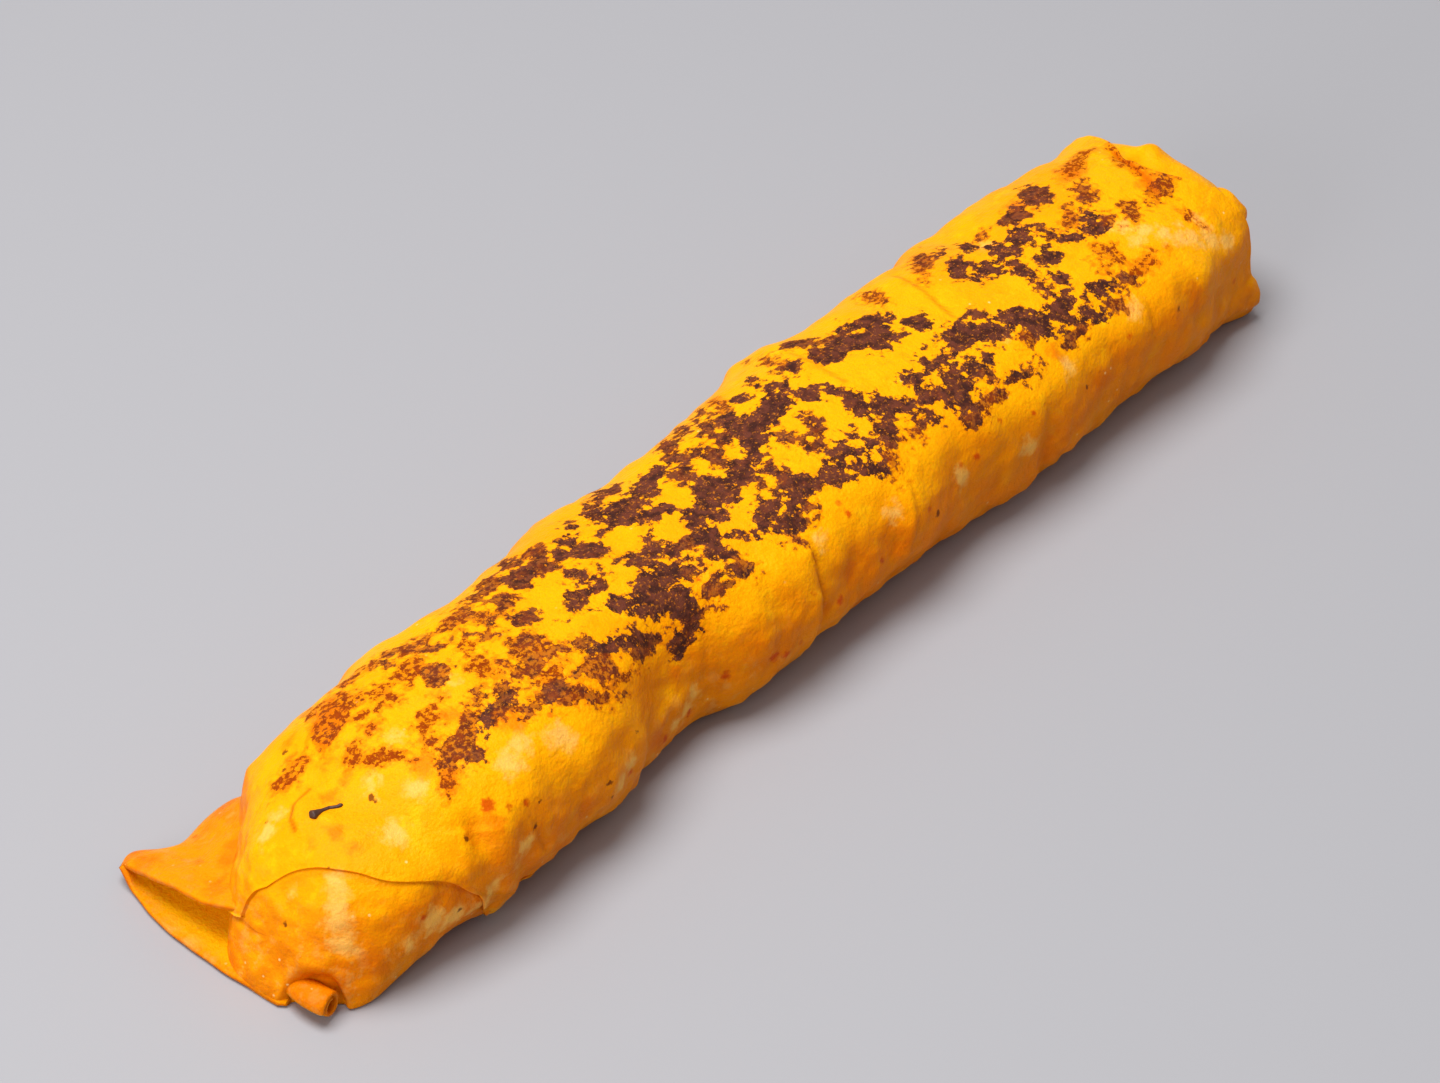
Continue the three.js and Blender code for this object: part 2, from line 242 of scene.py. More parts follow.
# Hollows (less than nothing) and swellings, most of them in the right flank: place along, angle
# round, how much, how long, how wide in degrees.
DENTS = [
    (1.5, 171, -1.0, 4, 12), (-12, 160, 0.6, 3.2, 14), (-17, 166, -0.5, 3, 12),
    (12.9, 174, -0.8, 3.2, 10), (24, 177, 0.5, 4, 10), (-97, 157, -1.0, 2.8, 13), (-90, 150, -0.5, 3, 9),
    (-54, 158, -0.6, 4.5, 12), (-69, 179, 0.7, 6, 12), (-62, 165, -0.5, 3, 14), (-78, 163, -0.4, 3, 14),
    (-36, 172, 0.5, 5, 12), (43, 172, -0.5, 4, 10), (60, 176, 0.4, 5, 12), (72, 168, -0.5, 4, 12),
    (92, 172, 0.4, 5, 12), (130, 88, 0.8, 3.6, 15), (130.5, 83, 1.2, 3.2, 8), (126.5, 75, -2.0, 1.9, 12),
    (124, 164, 1.0, 5, 8), (112, 158, 0.7, 6, 7), (101, 151, 0.5, 6, 6), (118, 180, -1.0, 6, 11),
    (107, 174, -0.7, 5, 10), (130, 192, 0.9, 4, 7), (129, 216, -1.2, 5, 9), (120, 120, -0.6, 4, 12),
    (-114, 60, -0.5, 5, 14), (-106, 108, 0.4, 4, 14), (82, 42, -1.4, 4.5, 22), (49, 42, 0.7, 4, 22),
    (39, 42, -0.8, 4.5, 22), (29, 42, -0.6, 5, 22), (9.5, 42, -0.8, 5, 22), (-71, 42, -0.8, 5, 22),
    (-107, 42, -0.9, 4, 22),
]
# Fold lines in the sheet: their points (along the roll, round it from the crown), how far one
# side stands up, how far the other side sinks and how dark the painted shade along it is.
FOLD_LINES = [
    ([(-6.2, 22), (-7.2, 27), (-7.6, 33.5)], 0.5, 0.5, 0.75),
    ([(-126.4, -6.4), (-125.2, -8.2), (-122.5, -8.9), (-117.5, -7.5)], 0.25, 0.3, 0.9),
    ([(118.6, 7.4), (122, 1.9), (124.5, -4), (126.6, -8)], 0.5, 0.6, 0.9),
    ([(122, 16), (127, 13.5), (132, 13)], 0.4, 0.5, 0.5),
    ([(64.6, -16.8), (62, -8), (58.3, 2.1)], 0.18, 0.3, 0.5),
    ([(31.4, -13), (30.6, -6), (29.2, 1.2)], 0.14, 0.25, 0.4),
    ([(-105, 19.5), (-98.5, 21.8), (-93, 24.5)], 0.25, 0.3, 0.12),
    ([(-86, 28), (-84, 36)], 0.2, 0.3, 0.3),
    ([(92, 20), (90, 30)], 0.2, 0.3, 0.1),
    ([(20, 24), (17, 34)], 0.2, 0.3, 0.2),
    ([(-33, 24), (-35, 34)], 0.15, 0.2, 0.08),
]


def dented(x, angle):
    return sum(
        much * swell(x, at, long) * swell(angle, turn, wide) for at, turn, much, long, wide in DENTS
    )


def fold_lines(x, across):
    """How far the fold lines lift the sheet, and how dark the painted shade along them is."""
    lift, line = np.zeros(x.shape), np.zeros(x.shape)
    for points, lip, groove, dark in FOLD_LINES:
        nearest = np.full(x.shape, 1e3)
        side_of, past = np.ones(x.shape), np.zeros(x.shape)
        for (x0, a0), (x1, a1) in zip(points, points[1:]):
            long = math.hypot(x1 - x0, a1 - a0)
            u, v = (x1 - x0) / long, (a1 - a0) / long
            forward = (x - x0) * u + (across - a0) * v
            over = forward - np.clip(forward, 0, long)
            sideways = (x - x0) * v - (across - a0) * u
            distance = np.hypot(over, sideways)
            closer = distance < nearest
            side_of = np.where(closer, np.sign(sideways), side_of)
            past = np.where(closer, abs(over), past)
            nearest = np.minimum(nearest, distance)
        s = side_of * nearest
        fade = np.exp(-((past / 1.6) ** 2))
        raised = lip * np.exp(np.minimum(s, 0) / 3)
        sunk = -groove * np.exp(-np.maximum(s, 0) / 1.6)
        lift += fade * mix(raised, sunk, smooth(-0.4, 0.4, s))
        line = np.maximum(line, fade * dark * swell(s, 0.1, 0.45))
    return lift, line


# Where the far end is drawn in: how far, then its middle and its width, across and up.
DRAWN_IN = 2.1
DRAWN_ACROSS = (-19, 7.5)
DRAWN_UP = (12.5, 5)


def drawn_end(grid):
    """The far end is drawn in on its right, between the knob and the low corner."""
    x, y, z = grid[..., 0], grid[..., 1], grid[..., 2]
    drawn = grid.copy()
    drawn[..., 0] -= DRAWN_IN * smooth(112, 131, x) * swell(y, *DRAWN_ACROSS) * swell(z, *DRAWN_UP)
    return drawn


def pressed_out(grid, amount=1.0, extra=0.0):
    """The grid with the bread's relief on it. What rests on the table stays there."""
    lift = amount * bread_relief(grid) + extra
    lift = lift * smooth(0.2, 2.5, grid[..., 2])
    made = grid + normals_of(grid) * lift[..., None]
    made[..., 2] = np.maximum(made[..., 2], 0)
    return made


# ---- Meshes ----
def closed_mesh(name, grid, values=None):
    """One closed surface through rings of equal count, with a fan over each end."""
    rings, count = grid.shape[:2]
    ends = np.stack([grid[0].mean(0), grid[-1].mean(0)])
    points = np.concatenate([grid.reshape(-1, 3), ends]) * 0.001
    ring, place = np.meshgrid(np.arange(rings - 1), np.arange(count), indexing="ij")
    a = ring * count + place
    b = ring * count + (place + 1) % count
    quads = np.stack([a, b, b + count, a + count], -1).reshape(-1, 4)
    here = np.arange(count)
    after = (here + 1) % count
    first, last = rings * count, rings * count + 1
    start = np.stack([np.full(count, first), after, here], -1)
    back = (rings - 1) * count
    end = np.stack([np.full(count, last), back + here, back + after], -1)
    faces = quads.tolist() + start.tolist() + end.tolist()
    return shape(name, points, faces, values)


def give_values(mesh, label, values):
    """A value at every point of a mesh, which the finishes read by its label."""
    mesh.attributes.new(label, "FLOAT", "POINT").data.foreach_set("value", values)


def shape(name, points, faces, values=None):
    mesh = bpy.data.meshes.new(name)
    mesh.from_pydata(points.tolist(), [], faces)
    mesh.update()
    mesh.polygons.foreach_set("use_smooth", np.ones(len(mesh.polygons), bool))
    for label, amounts in (values or {}).items():
        flat = np.concatenate([np.ravel(amounts), np.zeros(len(points) - amounts.size)])
        give_values(mesh, label, flat)
    piece = bpy.data.objects.new(name, mesh)
    bpy.context.scene.collection.objects.link(piece)
    return piece


# ---- The marks that the griddle left ----
# Place along the roll, place round it from the crown towards the right flank, length, width,
# turn in degrees and how dark it is.
NEAR_MARKS = [
    (-111, -12, 3, 2, 0, 0.35), (-117, -13, 3, 2, 30, 0.3), (-96, -12, 13, 5, -22, 0.5),
    (-94, -14, 4, 3, 0, 0.6), (-90, -7, 5, 2, 10, 0.45), (-85, -9, 5, 2, 0, 0.45),
    (-79, -7, 6, 4, -20, 0.5), (-78, -4, 6, 5, 10, 0.68), (-75, -12, 3, 4, 20, 0.62),
    (-72.5, -8.5, 3, 3, 0, 0.7), (-65, -10, 6, 3, -20, 0.62), (-61.5, -11.5, 2, 3, 10, 0.7),
    (-66, -5, 5, 2, 60, 0.7), (-62, -6, 3, 4, 0, 0.62), (-68.5, -4.5, 2, 1.5, 0, 0.5),
    (-102, -3, 5, 2, -15, 0.42), (-99, 1.5, 5, 1, 25, 0.4), (-86, 2, 5, 2.5, -20, 0.4),
    (-72, 3, 3, 4, 0, 0.45), (-90, 5.5, 5, 2, -10, 0.5), (-88, 10, 8, 4, -10, 0.66),
    (-87.5, 13, 3, 2.5, 0, 0.8), (-94.5, 13, 3.5, 2, -15, 0.5), (-81, 10.5, 4, 1.8, -10, 0.98),
    (-81.5, 7.5, 5, 2.2, -20, 0.66), (-78, 11, 4, 1.6, 10, 0.7), (-74.5, 10.5, 3, 2.2, 0, 0.8),
    (-72, 8, 2, 1.5, 0, 0.7), (-66, 7.5, 9, 4, -28, 0.7), (-62, 3.5, 5, 3, -10, 0.7),
    (-64, 11, 5, 2, 0, 0.5), (-67, 14.5, 5, 3, 10, 0.8), (-64, 17, 10, 3.5, 30, 0.7),
    (-57, 16, 9, 4.5, 8, 0.68), (-61, -6, 3, 2, 0, 0.6), (-93.8, -18.2, 2.2, 4, 20, 0.5),
    (-87, -17.3, 2, 1.5, 0, 0.6), (-84.6, -17.2, 2.4, 1.4, 0, 0.6), (-81.3, -15.6, 2.6, 1.6, 0, 0.6),
    (-79.6, -13.4, 2.4, 2.6, 0, 0.7), (-77.8, -14.6, 2, 2, 0, 0.7), (-71, -12.2, 1.8, 2.6, 20, 0.6),
    (-89.7, -10.7, 2.6, 1.6, 0, 0.5), (-94.7, -4.6, 3, 1.2, -20, 0.45), (-68.6, 4.3, 2, 3, 10, 0.6),
    (-64, 1.8, 1.6, 1.6, 0, 0.6), (-73.3, 14.3, 1.8, 1.5, 0, 0.7), (-84, 9.3, 2.4, 1.4, -20, 0.6),
    (-70.2, 13.4, 3, 1.6, 10, 0.6),
]
MIDDLE_MARKS = [
    (-58, -10.5, 1.8, 3, 0, 0.7), (-53, -12, 5, 4, -30, 0.74), (-56, -7, 4.5, 4, -45, 0.72),
    (-49, -8, 8, 6, 30, 0.84), (-46.5, -12.5, 3, 5, 10, 0.8), (-45, -5, 5, 2.5, 20, 0.8),
    (-41.5, -10, 2.6, 2.6, 0, 0.75), (-43.5, -8, 3, 1.6, 20, 0.8), (-57.7, -0.8, 3.4, 2.4, 35, 0.82),
    (-39.3, -5.3, 2, 3, 15, 0.92), (-36.3, -6.8, 3.2, 2, -20, 0.92), (-32.5, -8.8, 1.8, 3, 25, 0.92),
    (-36, -2, 5, 6.5, 0, 0.9), (-41.5, -0.5, 3.5, 2, 10, 0.86), (-45, 4.3, 8, 2.6, 0, 0.86),
    (-42.4, 2.6, 3, 4, 0, 0.86), (-48, 4.2, 2.6, 2, 10, 0.96), (-63, 4.5, 6, 4, -10, 0.62),
    (-55.7, 9.3, 2.2, 1.8, 30, 0.75), (-61, 8.3, 1.5, 1.5, 0, 0.7), (-59.4, 8.8, 1.6, 1.2, 0, 0.7),
    (-34.3, 3.8, 2, 2.6, 10, 0.94), (-32.6, 5.6, 3, 3.4, 0, 0.9), (-42, 10.3, 3.4, 2.4, 30, 0.96),
    (-35, 12, 11, 6.5, -45, 0.96), (-33, 17, 7, 6, 50, 0.95), (-39, 14.5, 6, 4, -20, 0.93),
    (-30.8, 10.5, 4, 5, -30, 0.95), (-37, 22.8, 3.6, 3, 30, 0.86), (-28, 4, 7, 3, -48, 0.95),
    (-26.8, 7.2, 1.6, 2.8, 20, 0.9), (-26.3, 12.8, 1.6, 1.8, 0, 0.85), (-28.3, 12.6, 1.2, 1.6, 0, 0.8),
    (-28, 17.6, 8, 3, -15, 0.76), (-31, 19.5, 6, 2, 10, 0.72), (-22.7, 15.7, 3.4, 1.6, 5, 0.84),
    (-20.3, 16.8, 2, 1.4, 30, 0.8), (-18.6, 16, 1.5, 1.6, 0, 0.72), (-26.6, -10.5, 2, 4.5, 30, 0.86),
    (-30.5, -4.6, 2.4, 1.6, -10, 0.9), (-23.8, -5.5, 6.5, 6, -30, 0.99), (-21, -3.6, 4, 3, 10, 0.97),
    (-20.5, -16, 5, 2, -45, 0.82), (-17, -15.5, 2.4, 4.5, 15, 0.85), (-22.5, -10, 5, 3.4, -20, 0.95),
    (-15, -11, 14, 5, -16, 0.97), (-18.5, -7.8, 8, 3.4, -10, 0.9), (-8, -7.6, 6, 4.4, 0, 0.84),
    (-18.8, -3.4, 2.4, 2, 0, 0.94), (-2, -16.5, 5, 2, -50, 0.82), (-5, -12, 2, 3.4, 0, 0.8),
    (-1, -5.8, 3, 6.5, 5, 0.82), (-15.5, 2.2, 8, 3.6, -28, 0.98), (-12, 0.4, 3, 3.4, 0, 0.95),
    (-8, 0, 6, 5, -20, 0.97), (-9, 3.6, 9, 3.6, -25, 0.97), (-2.5, 1.2, 10, 5, -8, 0.92),
    (-19.3, 7.6, 4, 4.4, 20, 0.95), (-22, 6.5, 3, 2, 0, 0.8), (-16.4, 9.4, 4, 1.8, 35, 0.95),
    (-13.8, 11, 2, 1, 30, 0.9), (-20.4, 11.8, 2.6, 2.8, 0, 0.92), (-7, 11.2, 9, 4.6, -12, 0.95),
    (-7.4, 14.5, 5, 2.6, 10, 0.92), (-0.5, 12.2, 8, 4.2, 0, 0.94), (-11.3, 12.2, 2.6, 1.6, 0, 0.9),
    (-7, 19.2, 1.8, 3.2, -20, 0.72), (-5, 16.6, 2.6, 2, 0, 0.88), (-0.5, 16, 3, 1.6, -30, 0.76),
    (-51.6, 14.6, 5.6, 2.6, 12, 0.9), (-45.5, 17, 6.5, 3, 32, 0.88), (-46.6, 19, 3.4, 1.6, 15, 0.78),
    (-40, 19.8, 3.4, 2, 25, 0.78), (-57, 19, 8, 1.6, 5, 0.62), (-34, 20.5, 3, 4, 0, 0.86),
]
FAR_MARKS = [
    (3.5, -16.5, 2, 5, 25, 0.8), (7, -15, 2.2, 6, 30, 0.8), (10.2, -17, 1.5, 3.6, 20, 0.78),
    (13.8, -17, 1.4, 4.4, 25, 0.62), (16, -13.8, 3.6, 2.8, 0, 0.97), (20.4, -14, 1.8, 2.6, 20, 0.9),
    (9.6, -10.5, 4.2, 3.2, -40, 0.97), (5, -11.6, 3.4, 2, 0, 0.82), (20.7, -10.5, 2.6, 3, 0, 0.96),
    (28.2, -15.5, 1.2, 4.6, 10, 0.66), (28.6, -9.8, 2.6, 1.8, 0, 0.9), (26.3, -12.4, 1.6, 1.4, 0, 0.8),
    (14.5, -6, 17, 5.4, -10, 0.95), (22.2, -3.6, 5, 4.4, 10, 0.98), (20.5, -7.5, 6, 3, -30, 0.93),
    (7, -2.6, 9, 4.6, -25, 0.95), (3.8, -7.8, 2.4, 4, 10, 0.84), (2, 0.8, 5, 3.6, 0, 0.9),
    (36, -14, 3.2, 3.8, -30, 0.82), (41.5, -5.6, 16, 6.4, 20, 0.95), (34.5, -7.5, 6, 5.6, 30, 0.9),
    (47, -8.6, 8, 3.8, 25, 0.93), (44.6, -10.3, 2, 4.4, 30, 0.94), (52.2, -2.3, 4.6, 4.6, 0, 0.99),
    (45, -2.2, 9, 3.4, -12, 0.93), (38, -11, 4, 2, 20, 0.75), (56, -15, 1.4, 3, 10, 0.6),
    (17.1, 1, 1.6, 2.6, 0, 0.85), (18.8, 9.6, 2.2, 2, -20, 0.93), (25.5, 1.5, 2.4, 3.4, -20, 0.93),
    (26.2, 6, 6, 5, 60, 0.95), (30.3, 9.2, 7, 3, 62, 0.94), (15.3, 5.4, 1.3, 3.6, 25, 0.82),
    (12.8, 7.4, 3.4, 2, -10, 0.84), (11, 2.2, 1, 2.8, 0, 0.8), (2.8, 4.8, 6, 1.4, -55, 0.85),
    (-1.8, 8.4, 1.4, 3, 20, 0.8), (8, 14.2, 5, 3.2, 15, 0.95), (14.6, 11.8, 6, 5.4, 40, 0.96),
    (15.6, 17.2, 5, 2.4, 25, 0.98), (12.8, 14.4, 5, 3, 30, 0.95), (19.4, 13.8, 4, 2.8, 0, 0.93),
    (25, 13.2, 6, 3.6, 10, 0.9), (31.6, 13.2, 6, 3.6, 25, 0.93), (38.8, 9.3, 3.8, 2.2, -55, 0.98),
    (43.9, 7.8, 3.6, 2, -60, 0.98), (38.6, 14.4, 5, 3, 0, 0.9), (42, 17.2, 7, 5.6, -30, 0.95),
    (44.6, 13, 5, 3, -40, 0.95), (35, 18.3, 3.4, 2.6, 20, 0.9), (40.7, 21.8, 2.8, 2.2, 20, 0.8),
    (46.2, 16.6, 3, 2, -60, 0.92), (49.6, 12.8, 3.6, 3.6, 0, 0.98), (53.6, 13.9, 3.4, 1.2, 5, 0.95),
    (47.8, 8, 2.4, 1.2, 0, 0.9), (56.5, 8.4, 13, 4.4, 22, 0.95), (56.4, 4.8, 4, 3.6, -30, 0.93),
    (62, 5, 2.6, 2.6, 0, 0.85), (50.6, 17, 1.4, 3.4, -15, 0.8), (54.4, 20.4, 4, 2.8, 30, 0.86),
    (58.2, 20.4, 3, 1, 0, 0.8), (27.8, 17.8, 3, 2.4, 20, 0.62), (31, 17.6, 2, 2, 0, 0.8),
    (22.6, 15.8, 2.4, 1.4, 0, 0.82), (20, 18.6, 1.4, 2.8, 15, 0.66), (52, 6.4, 4, 2.2, -40, 0.93),
    (49, 20.2, 5, 1, 0, 0.7), (65.6, 10, 7, 4.4, 20, 0.96), (68.3, 15, 5.8, 5, 10, 0.98),
    (76, 14.6, 7, 4, 0, 0.93), (79, 18.7, 5.2, 2.4, 22, 0.97), (74.6, 17, 3, 2.6, 0, 0.9),
    (73, 20.4, 4, 1.6, 0, 0.75), (84.6, 16.6, 8, 2.4, 4, 0.96), (90.6, 17.8, 6, 2.6, 5, 0.78),
    (85.6, 20.6, 2.6, 1.4, 15, 0.7), (96.5, 17.4, 5, 2, 0, 0.4), (74.6, -2.6, 6.6, 4.4, -10, 0.98),
    (71.6, -7.2, 6, 3, -45, 0.92), (82, -4, 3.4, 6, 5, 0.96), (86.8, -4.4, 6, 3.6, -50, 0.92),
    (80.6, -10.8, 2.6, 3.2, 15, 0.9), (84.4, -10.6, 1.8, 1.2, 0, 0.66), (84, 4, 5.4, 2.6, 30, 0.97),
    (78.6, 4, 2, 7, 20, 0.88), (77.3, 8, 1.4, 3, 10, 0.85), (81.4, 10.2, 2.6, 2.6, 0, 0.88),
    (76, -13.8, 4, 2.8, -30, 0.88), (71.6, -15, 6, 2, -50, 0.72), (68.4, -13, 4, 1.8, -45, 0.6),
    (92.6, -9.6, 6, 4.4, -25, 0.82), (101, -11.4, 8, 4.6, -48, 0.84), (105.4, -3.4, 8, 3.8, -16, 0.72),
    (93.4, 3.8, 6, 2.6, 22, 0.93), (98.8, 3.4, 6, 2.2, -42, 0.9), (91.4, 0.6, 2.2, 4.4, 10, 0.84),
    (97.6, 0, 3, 1.6, -40, 0.6), (103.4, 4.6, 2.4, 1.8, 0, 0.66), (107.2, 6.8, 5, 2.4, -32, 0.6),
    (94.6, 11.6, 2.2, 5, 0, 0.5), (90.3, 13, 1.6, 2.4, 0, 0.5), (119.3, 7, 7, 3, -12, 0.58),
    (118.8, 15, 2, 3, 0, 0.5), (125, -3.5, 3, 7, 30, 0.32), (118, -12.5, 7, 2.4, -10, 0.3),
    (63.5, 15.2, 1.6, 1.6, 0, 0.7),
]
MARK_REACH = 5.0  # how far outside a mark it is still felt, in millimetres


def griddle_marks(x, across):
    """How deep inside a mark each place is, in millimetres, and how dark that mark is."""
    depth = np.full(x.shape, -MARK_REACH)
    dark = np.full(x.shape, 0.6)
    for at, down, length, width, turn, darkness in NEAR_MARKS + MIDDLE_MARKS + FAR_MARKS:
        c, s = math.cos(math.radians(turn)), math.sin(math.radians(turn))
        u = ((x - at) * c + (across - down) * s) / (length / 2)
        v = ((across - down) * c - (x - at) * s) / (width / 2)
        here = (1 - np.hypot(u, v)) * min(length, width) / 2
        dark = np.where(here > depth, darkness, dark)
        depth = np.maximum(depth, here)
    return depth, dark


# ---- Spots: fillings that show through, thin pale places, toasted places and dark specks ----
# On the roll each is a place along it, a place round it from the crown and a radius.
RED_ON_ROLL = [
    (-92, 20.8, 1.25), (-85.6, 24.9, 0.65), (-89, 23.6, 0.5), (-20.4, 35, 1.1), (-17.6, 36, 0.8),
    (-30, 34, 0.9), (-37.7, 37.4, 0.8), (-45.2, 38.2, 0.8), (-2.7, 34.3, 0.8), (38.5, 28.6, 0.8),
    (5.4, 21, 0.6), (-27.6, 14.6, 0.5), (22, 30, 0.6), (54, 27, 0.5), (9, 33, 0.6), (-60, 36, 0.6),
    (84, 27, 0.6), (-10, 27.5, 0.45), (46, 24.5, 0.45),
]
SPECKS_ON_ROLL = [
    (-108.3, 33.8, 0.75), (-81, 10.5, 0.4), (-110.8, 4.6, 0.5), (-111.4, 5.4, 0.4), (-66.9, 33.5, 0.5),
    (-66.9, 36.8, 0.4), (-85.3, 30, 0.55), (-82.9, 26.4, 0.45), (24.3, 32.6, 0.6), (-101.5, 22.3, 0.5),
    (-128.8, 3.2, 0.35), (-113.5, -14.5, 0.4), (-108, -16.5, 0.45), (-57, 29, 0.35), (70, 30, 0.4),
    (98, 28, 0.45), (-125, -14, 0.35),
]
PALE_ON_ROLL = [
    (-127, -12.8, 2.2), (-124.5, -12.2, 1.6), (-117, 10, 2.6), (-84, 17.8, 2.4), (-79.6, 17, 2.4),
    (-73, 21.4, 2.6), (-101, 10.6, 2.2), (-98, 35, 1.5), (-96, 34.4, 1.2), (-36.6, 33.6, 1.8),
    (-39, 35.5, 1.8), (-42, 37, 1.6), (-108, 3.5, 1.8), (-60, 33, 1.6), (-64, 35.5, 1.6), (-88, 32, 2),
    (-91, 34, 1.6), (102.5, 8.2, 2.2), (104.5, 11.6, 2), (101, 12, 1.4), (107, 15, 2.2), (110.5, 16.6, 2),
    (114, 18.8, 2.2), (118, 20.6, 2.4), (122, 23, 2.2), (113, 14.5, 1.2), (119, 16.5, 1.4), (14, 26, 1.8),
    (34, 31, 2.2), (52, 33, 2.2), (67, 24, 2), (88, 23, 2.4), (-3, 21, 1.6), (-93, 0.5, 1.8),
    (-78, 0, 1.6), (82, -7.4, 1.6), (60, 11.6, 1.4),
]
TOAST_ON_ROLL = [
    (-128, -2.8, 1.1), (-117, -3.2, 1.9), (-110.3, -6.2, 1.5), (-107.5, -6, 1.2), (-111.5, -1.6, 1.1),
    (-108, -1.3, 1.2), (-123.8, 0.6, 1.6), (-124.8, 4.6, 1.4), (-117.3, -12.9, 1.5), (-110.8, -14.7, 1),
    (-102.4, -9, 1.8), (-95, -13, 4.5), (-93.6, -4.3, 1.9), (-94.5, 13.7, 2), (-94.7, 8.2, 3),
    (-98, 23, 2), (-93, 24, 2.2), (-83.6, 4.9, 2), (-77.5, 13.5, 3), (-86.9, -17.3, 1.4),
    (-104, -17, 1.6), (-90.5, -16.5, 2), (-40, 27, 2), (-7, 33, 2.4), (1.5, 31, 2.6), (14, 33, 2.4),
    (-48, 36, 3), (-72, 36, 2.6), (96, -12, 2.6), (113, -10, 2.4), (120, 4, 3), (66, 20.5, 2),
    (104, 28, 3), (75, 32, 2.6),
]
# Elsewhere each is a point and a radius.
PALE_PLACES = [
    (-128, 31, 3.5, 1.4), (-119, 31, 6, 1.4), (-124, 19, 7.5, 1.2), (-110, 24, 11, 1.4),
    (-118.8, -10.2, 21.6, 2.2), (-120.3, -11.4, 19, 2.5), (-121.4, -12.4, 16, 2.5),
    (-121.8, -13.6, 13.4, 2.3), (-121, -16, 11.6, 1.8), (-123.4, -3.2, 18.6, 1.2),
    (-108.6, -21.6, 12.4, 2.8), (-104, -22, 10.4, 2.4), (-113.5, -20.6, 10.6, 1.8), (-99, -22, 8.4, 2),
    (-129.6, 19, 1.4, 1.6), (-129.2, 15, 1.4, 1.6), (-130, 10, 1.4, 1.4), (-115, 27.5, 7, 1.4),
    (-120, 24, 7, 1.2),
]
TOAST_PLACES = [
    (-112, -21.4, 13.3, 1.9), (-120, -17.6, 10.3, 2.6), (-118.6, -18.8, 7.6, 2.4), (-124.8, -9, 6.8, 2.4),
    (-123.4, -13.4, 6.6, 2.2), (-127, 34.5, 3, 3), (-123, 34.5, 3.5, 2.4), (-118.5, 33.5, 3, 2),
    (-111, 33.5, 4, 2.2), (-120, 21, 7.4, 1.3), (-127.4, 5, 1.6, 2.6), (-128.6, 0, 1.4, 2.4),
    (-116.5, 17.6, 9.5, 2.6), (-114, 18.6, 11, 2.4), (-124.6, 14, 5, 2), (-123.4, 25, 6.5, 1.2),
    (136, -14, 20, 3), (134, 8, 12, 3), (136, -6, 6, 3), (-122, 30, 6.5, 2), (-117, 26, 8.5, 1.8),
    (-112, 30, 8, 2.2), (-126.5, 24, 6, 1.2), (-121, 15, 9, 1.6), (-106, 28, 8, 2),
]
SPECK_PLACES = [
    (-125.8, -4.2, 13.9, 0.45), (-102.7, -22.6, 11.2, 0.55), (-127.6, 4.5, 2, 0.6),
    (-128.2, 5.6, 1.6, 0.4),
]
RED_PLACES = [(-110, -20.6, 13.9, 0.6), (-118.4, 22.5, 8.3, 0.6), (-122.6, -8.6, 17.6, 0.35)]
SPOT_REACH = 3.0


OUTER_NEAR = NEAR - 1
OUTER_FAR = FAR + 9


def roll_surface(x, angle, angles):
    """The outer turn's surface, the distance round it from the crown, and the painted shade along its
    fold lines.
    """
    skinned = skin(x, angle, 0, 0, OUTER_NEAR, OUTER_FAR)
    steps = np.linalg.norm(np.diff(skinned[..., 1:], axis=1), axis=-1)
    across = np.concatenate([np.zeros((len(x), 1)), np.cumsum(steps, 1)], 1)
    crown = np.abs(angles - 90).argmin()
    across = across - across[:, crown : crown + 1]
    lift, line = fold_lines(x, across)
    return pressed_out(drawn_end(skinned), 1.0, lift + dented(x, angle)), across, line


def on_roll(along, down):
    """The point of the roll's surface at a place along it and round it."""
    angles = np.linspace(-40, 222, 900)
    x, angle = np.meshgrid(along + np.array([-0.4, 0, 0.4]), angles, indexing="ij")
    surface, across, _ = roll_surface(x, angle, angles)
    return surface[1, np.abs(across[1] - down).argmin()]


def spots():
    """Every spot as a point and a radius, by kind."""
    kinds = {
        "red": (RED_ON_ROLL, RED_PLACES), "speck": (SPECKS_ON_ROLL, SPECK_PLACES),
        "pale": (PALE_ON_ROLL, PALE_PLACES), "toast": (TOAST_ON_ROLL, TOAST_PLACES),
    }
    return {
        kind: [(*on_roll(x, down), radius) for x, down, radius in placed] + list(elsewhere)
        for kind, (placed, elsewhere) in kinds.items()
    }


def give_spots(piece, all_spots):
    """How deep inside a spot of each kind every point of a piece is, in millimetres."""
    flat = np.empty(len(piece.data.vertices) * 3)
    piece.data.vertices.foreach_get("co", flat)
    points = flat.reshape(-1, 3) * 1000
    for kind, places in all_spots.items():
        depth = np.full(len(points), -SPOT_REACH)
        for x, y, z, radius in places:
            depth = np.maximum(depth, radius - np.linalg.norm(points - (x, y, z), axis=1))
        give_values(piece.data, kind, depth)


# ---- The outer turn of the sheet ----
NEAR_TIP = NEAR - 0.4
OUTER_RINGS = 396
EDGE_RINGS = 6
# The rings that close the sheet inside the roll: how deep they lie and how far from its edge.
HIDDEN_RINGS = [(2.6, 1.2), (6, 9)]
INSIDE_FLOOR = 1.5 + SHEET


def near_edge(angle):
    over_top = 4.2 * smooth(50, 135, angle)
    down_flank = 38 * smooth(125, 205, angle) ** 1.5
    under_foot = 26 * smooth(196, 222, angle)
    under = smooth(235, 325, angle)
    left_back = 10 * (1 - smooth(334, 360, angle))
    return NEAR_TIP + mix(over_top + down_flank + under_foot, left_back, under)


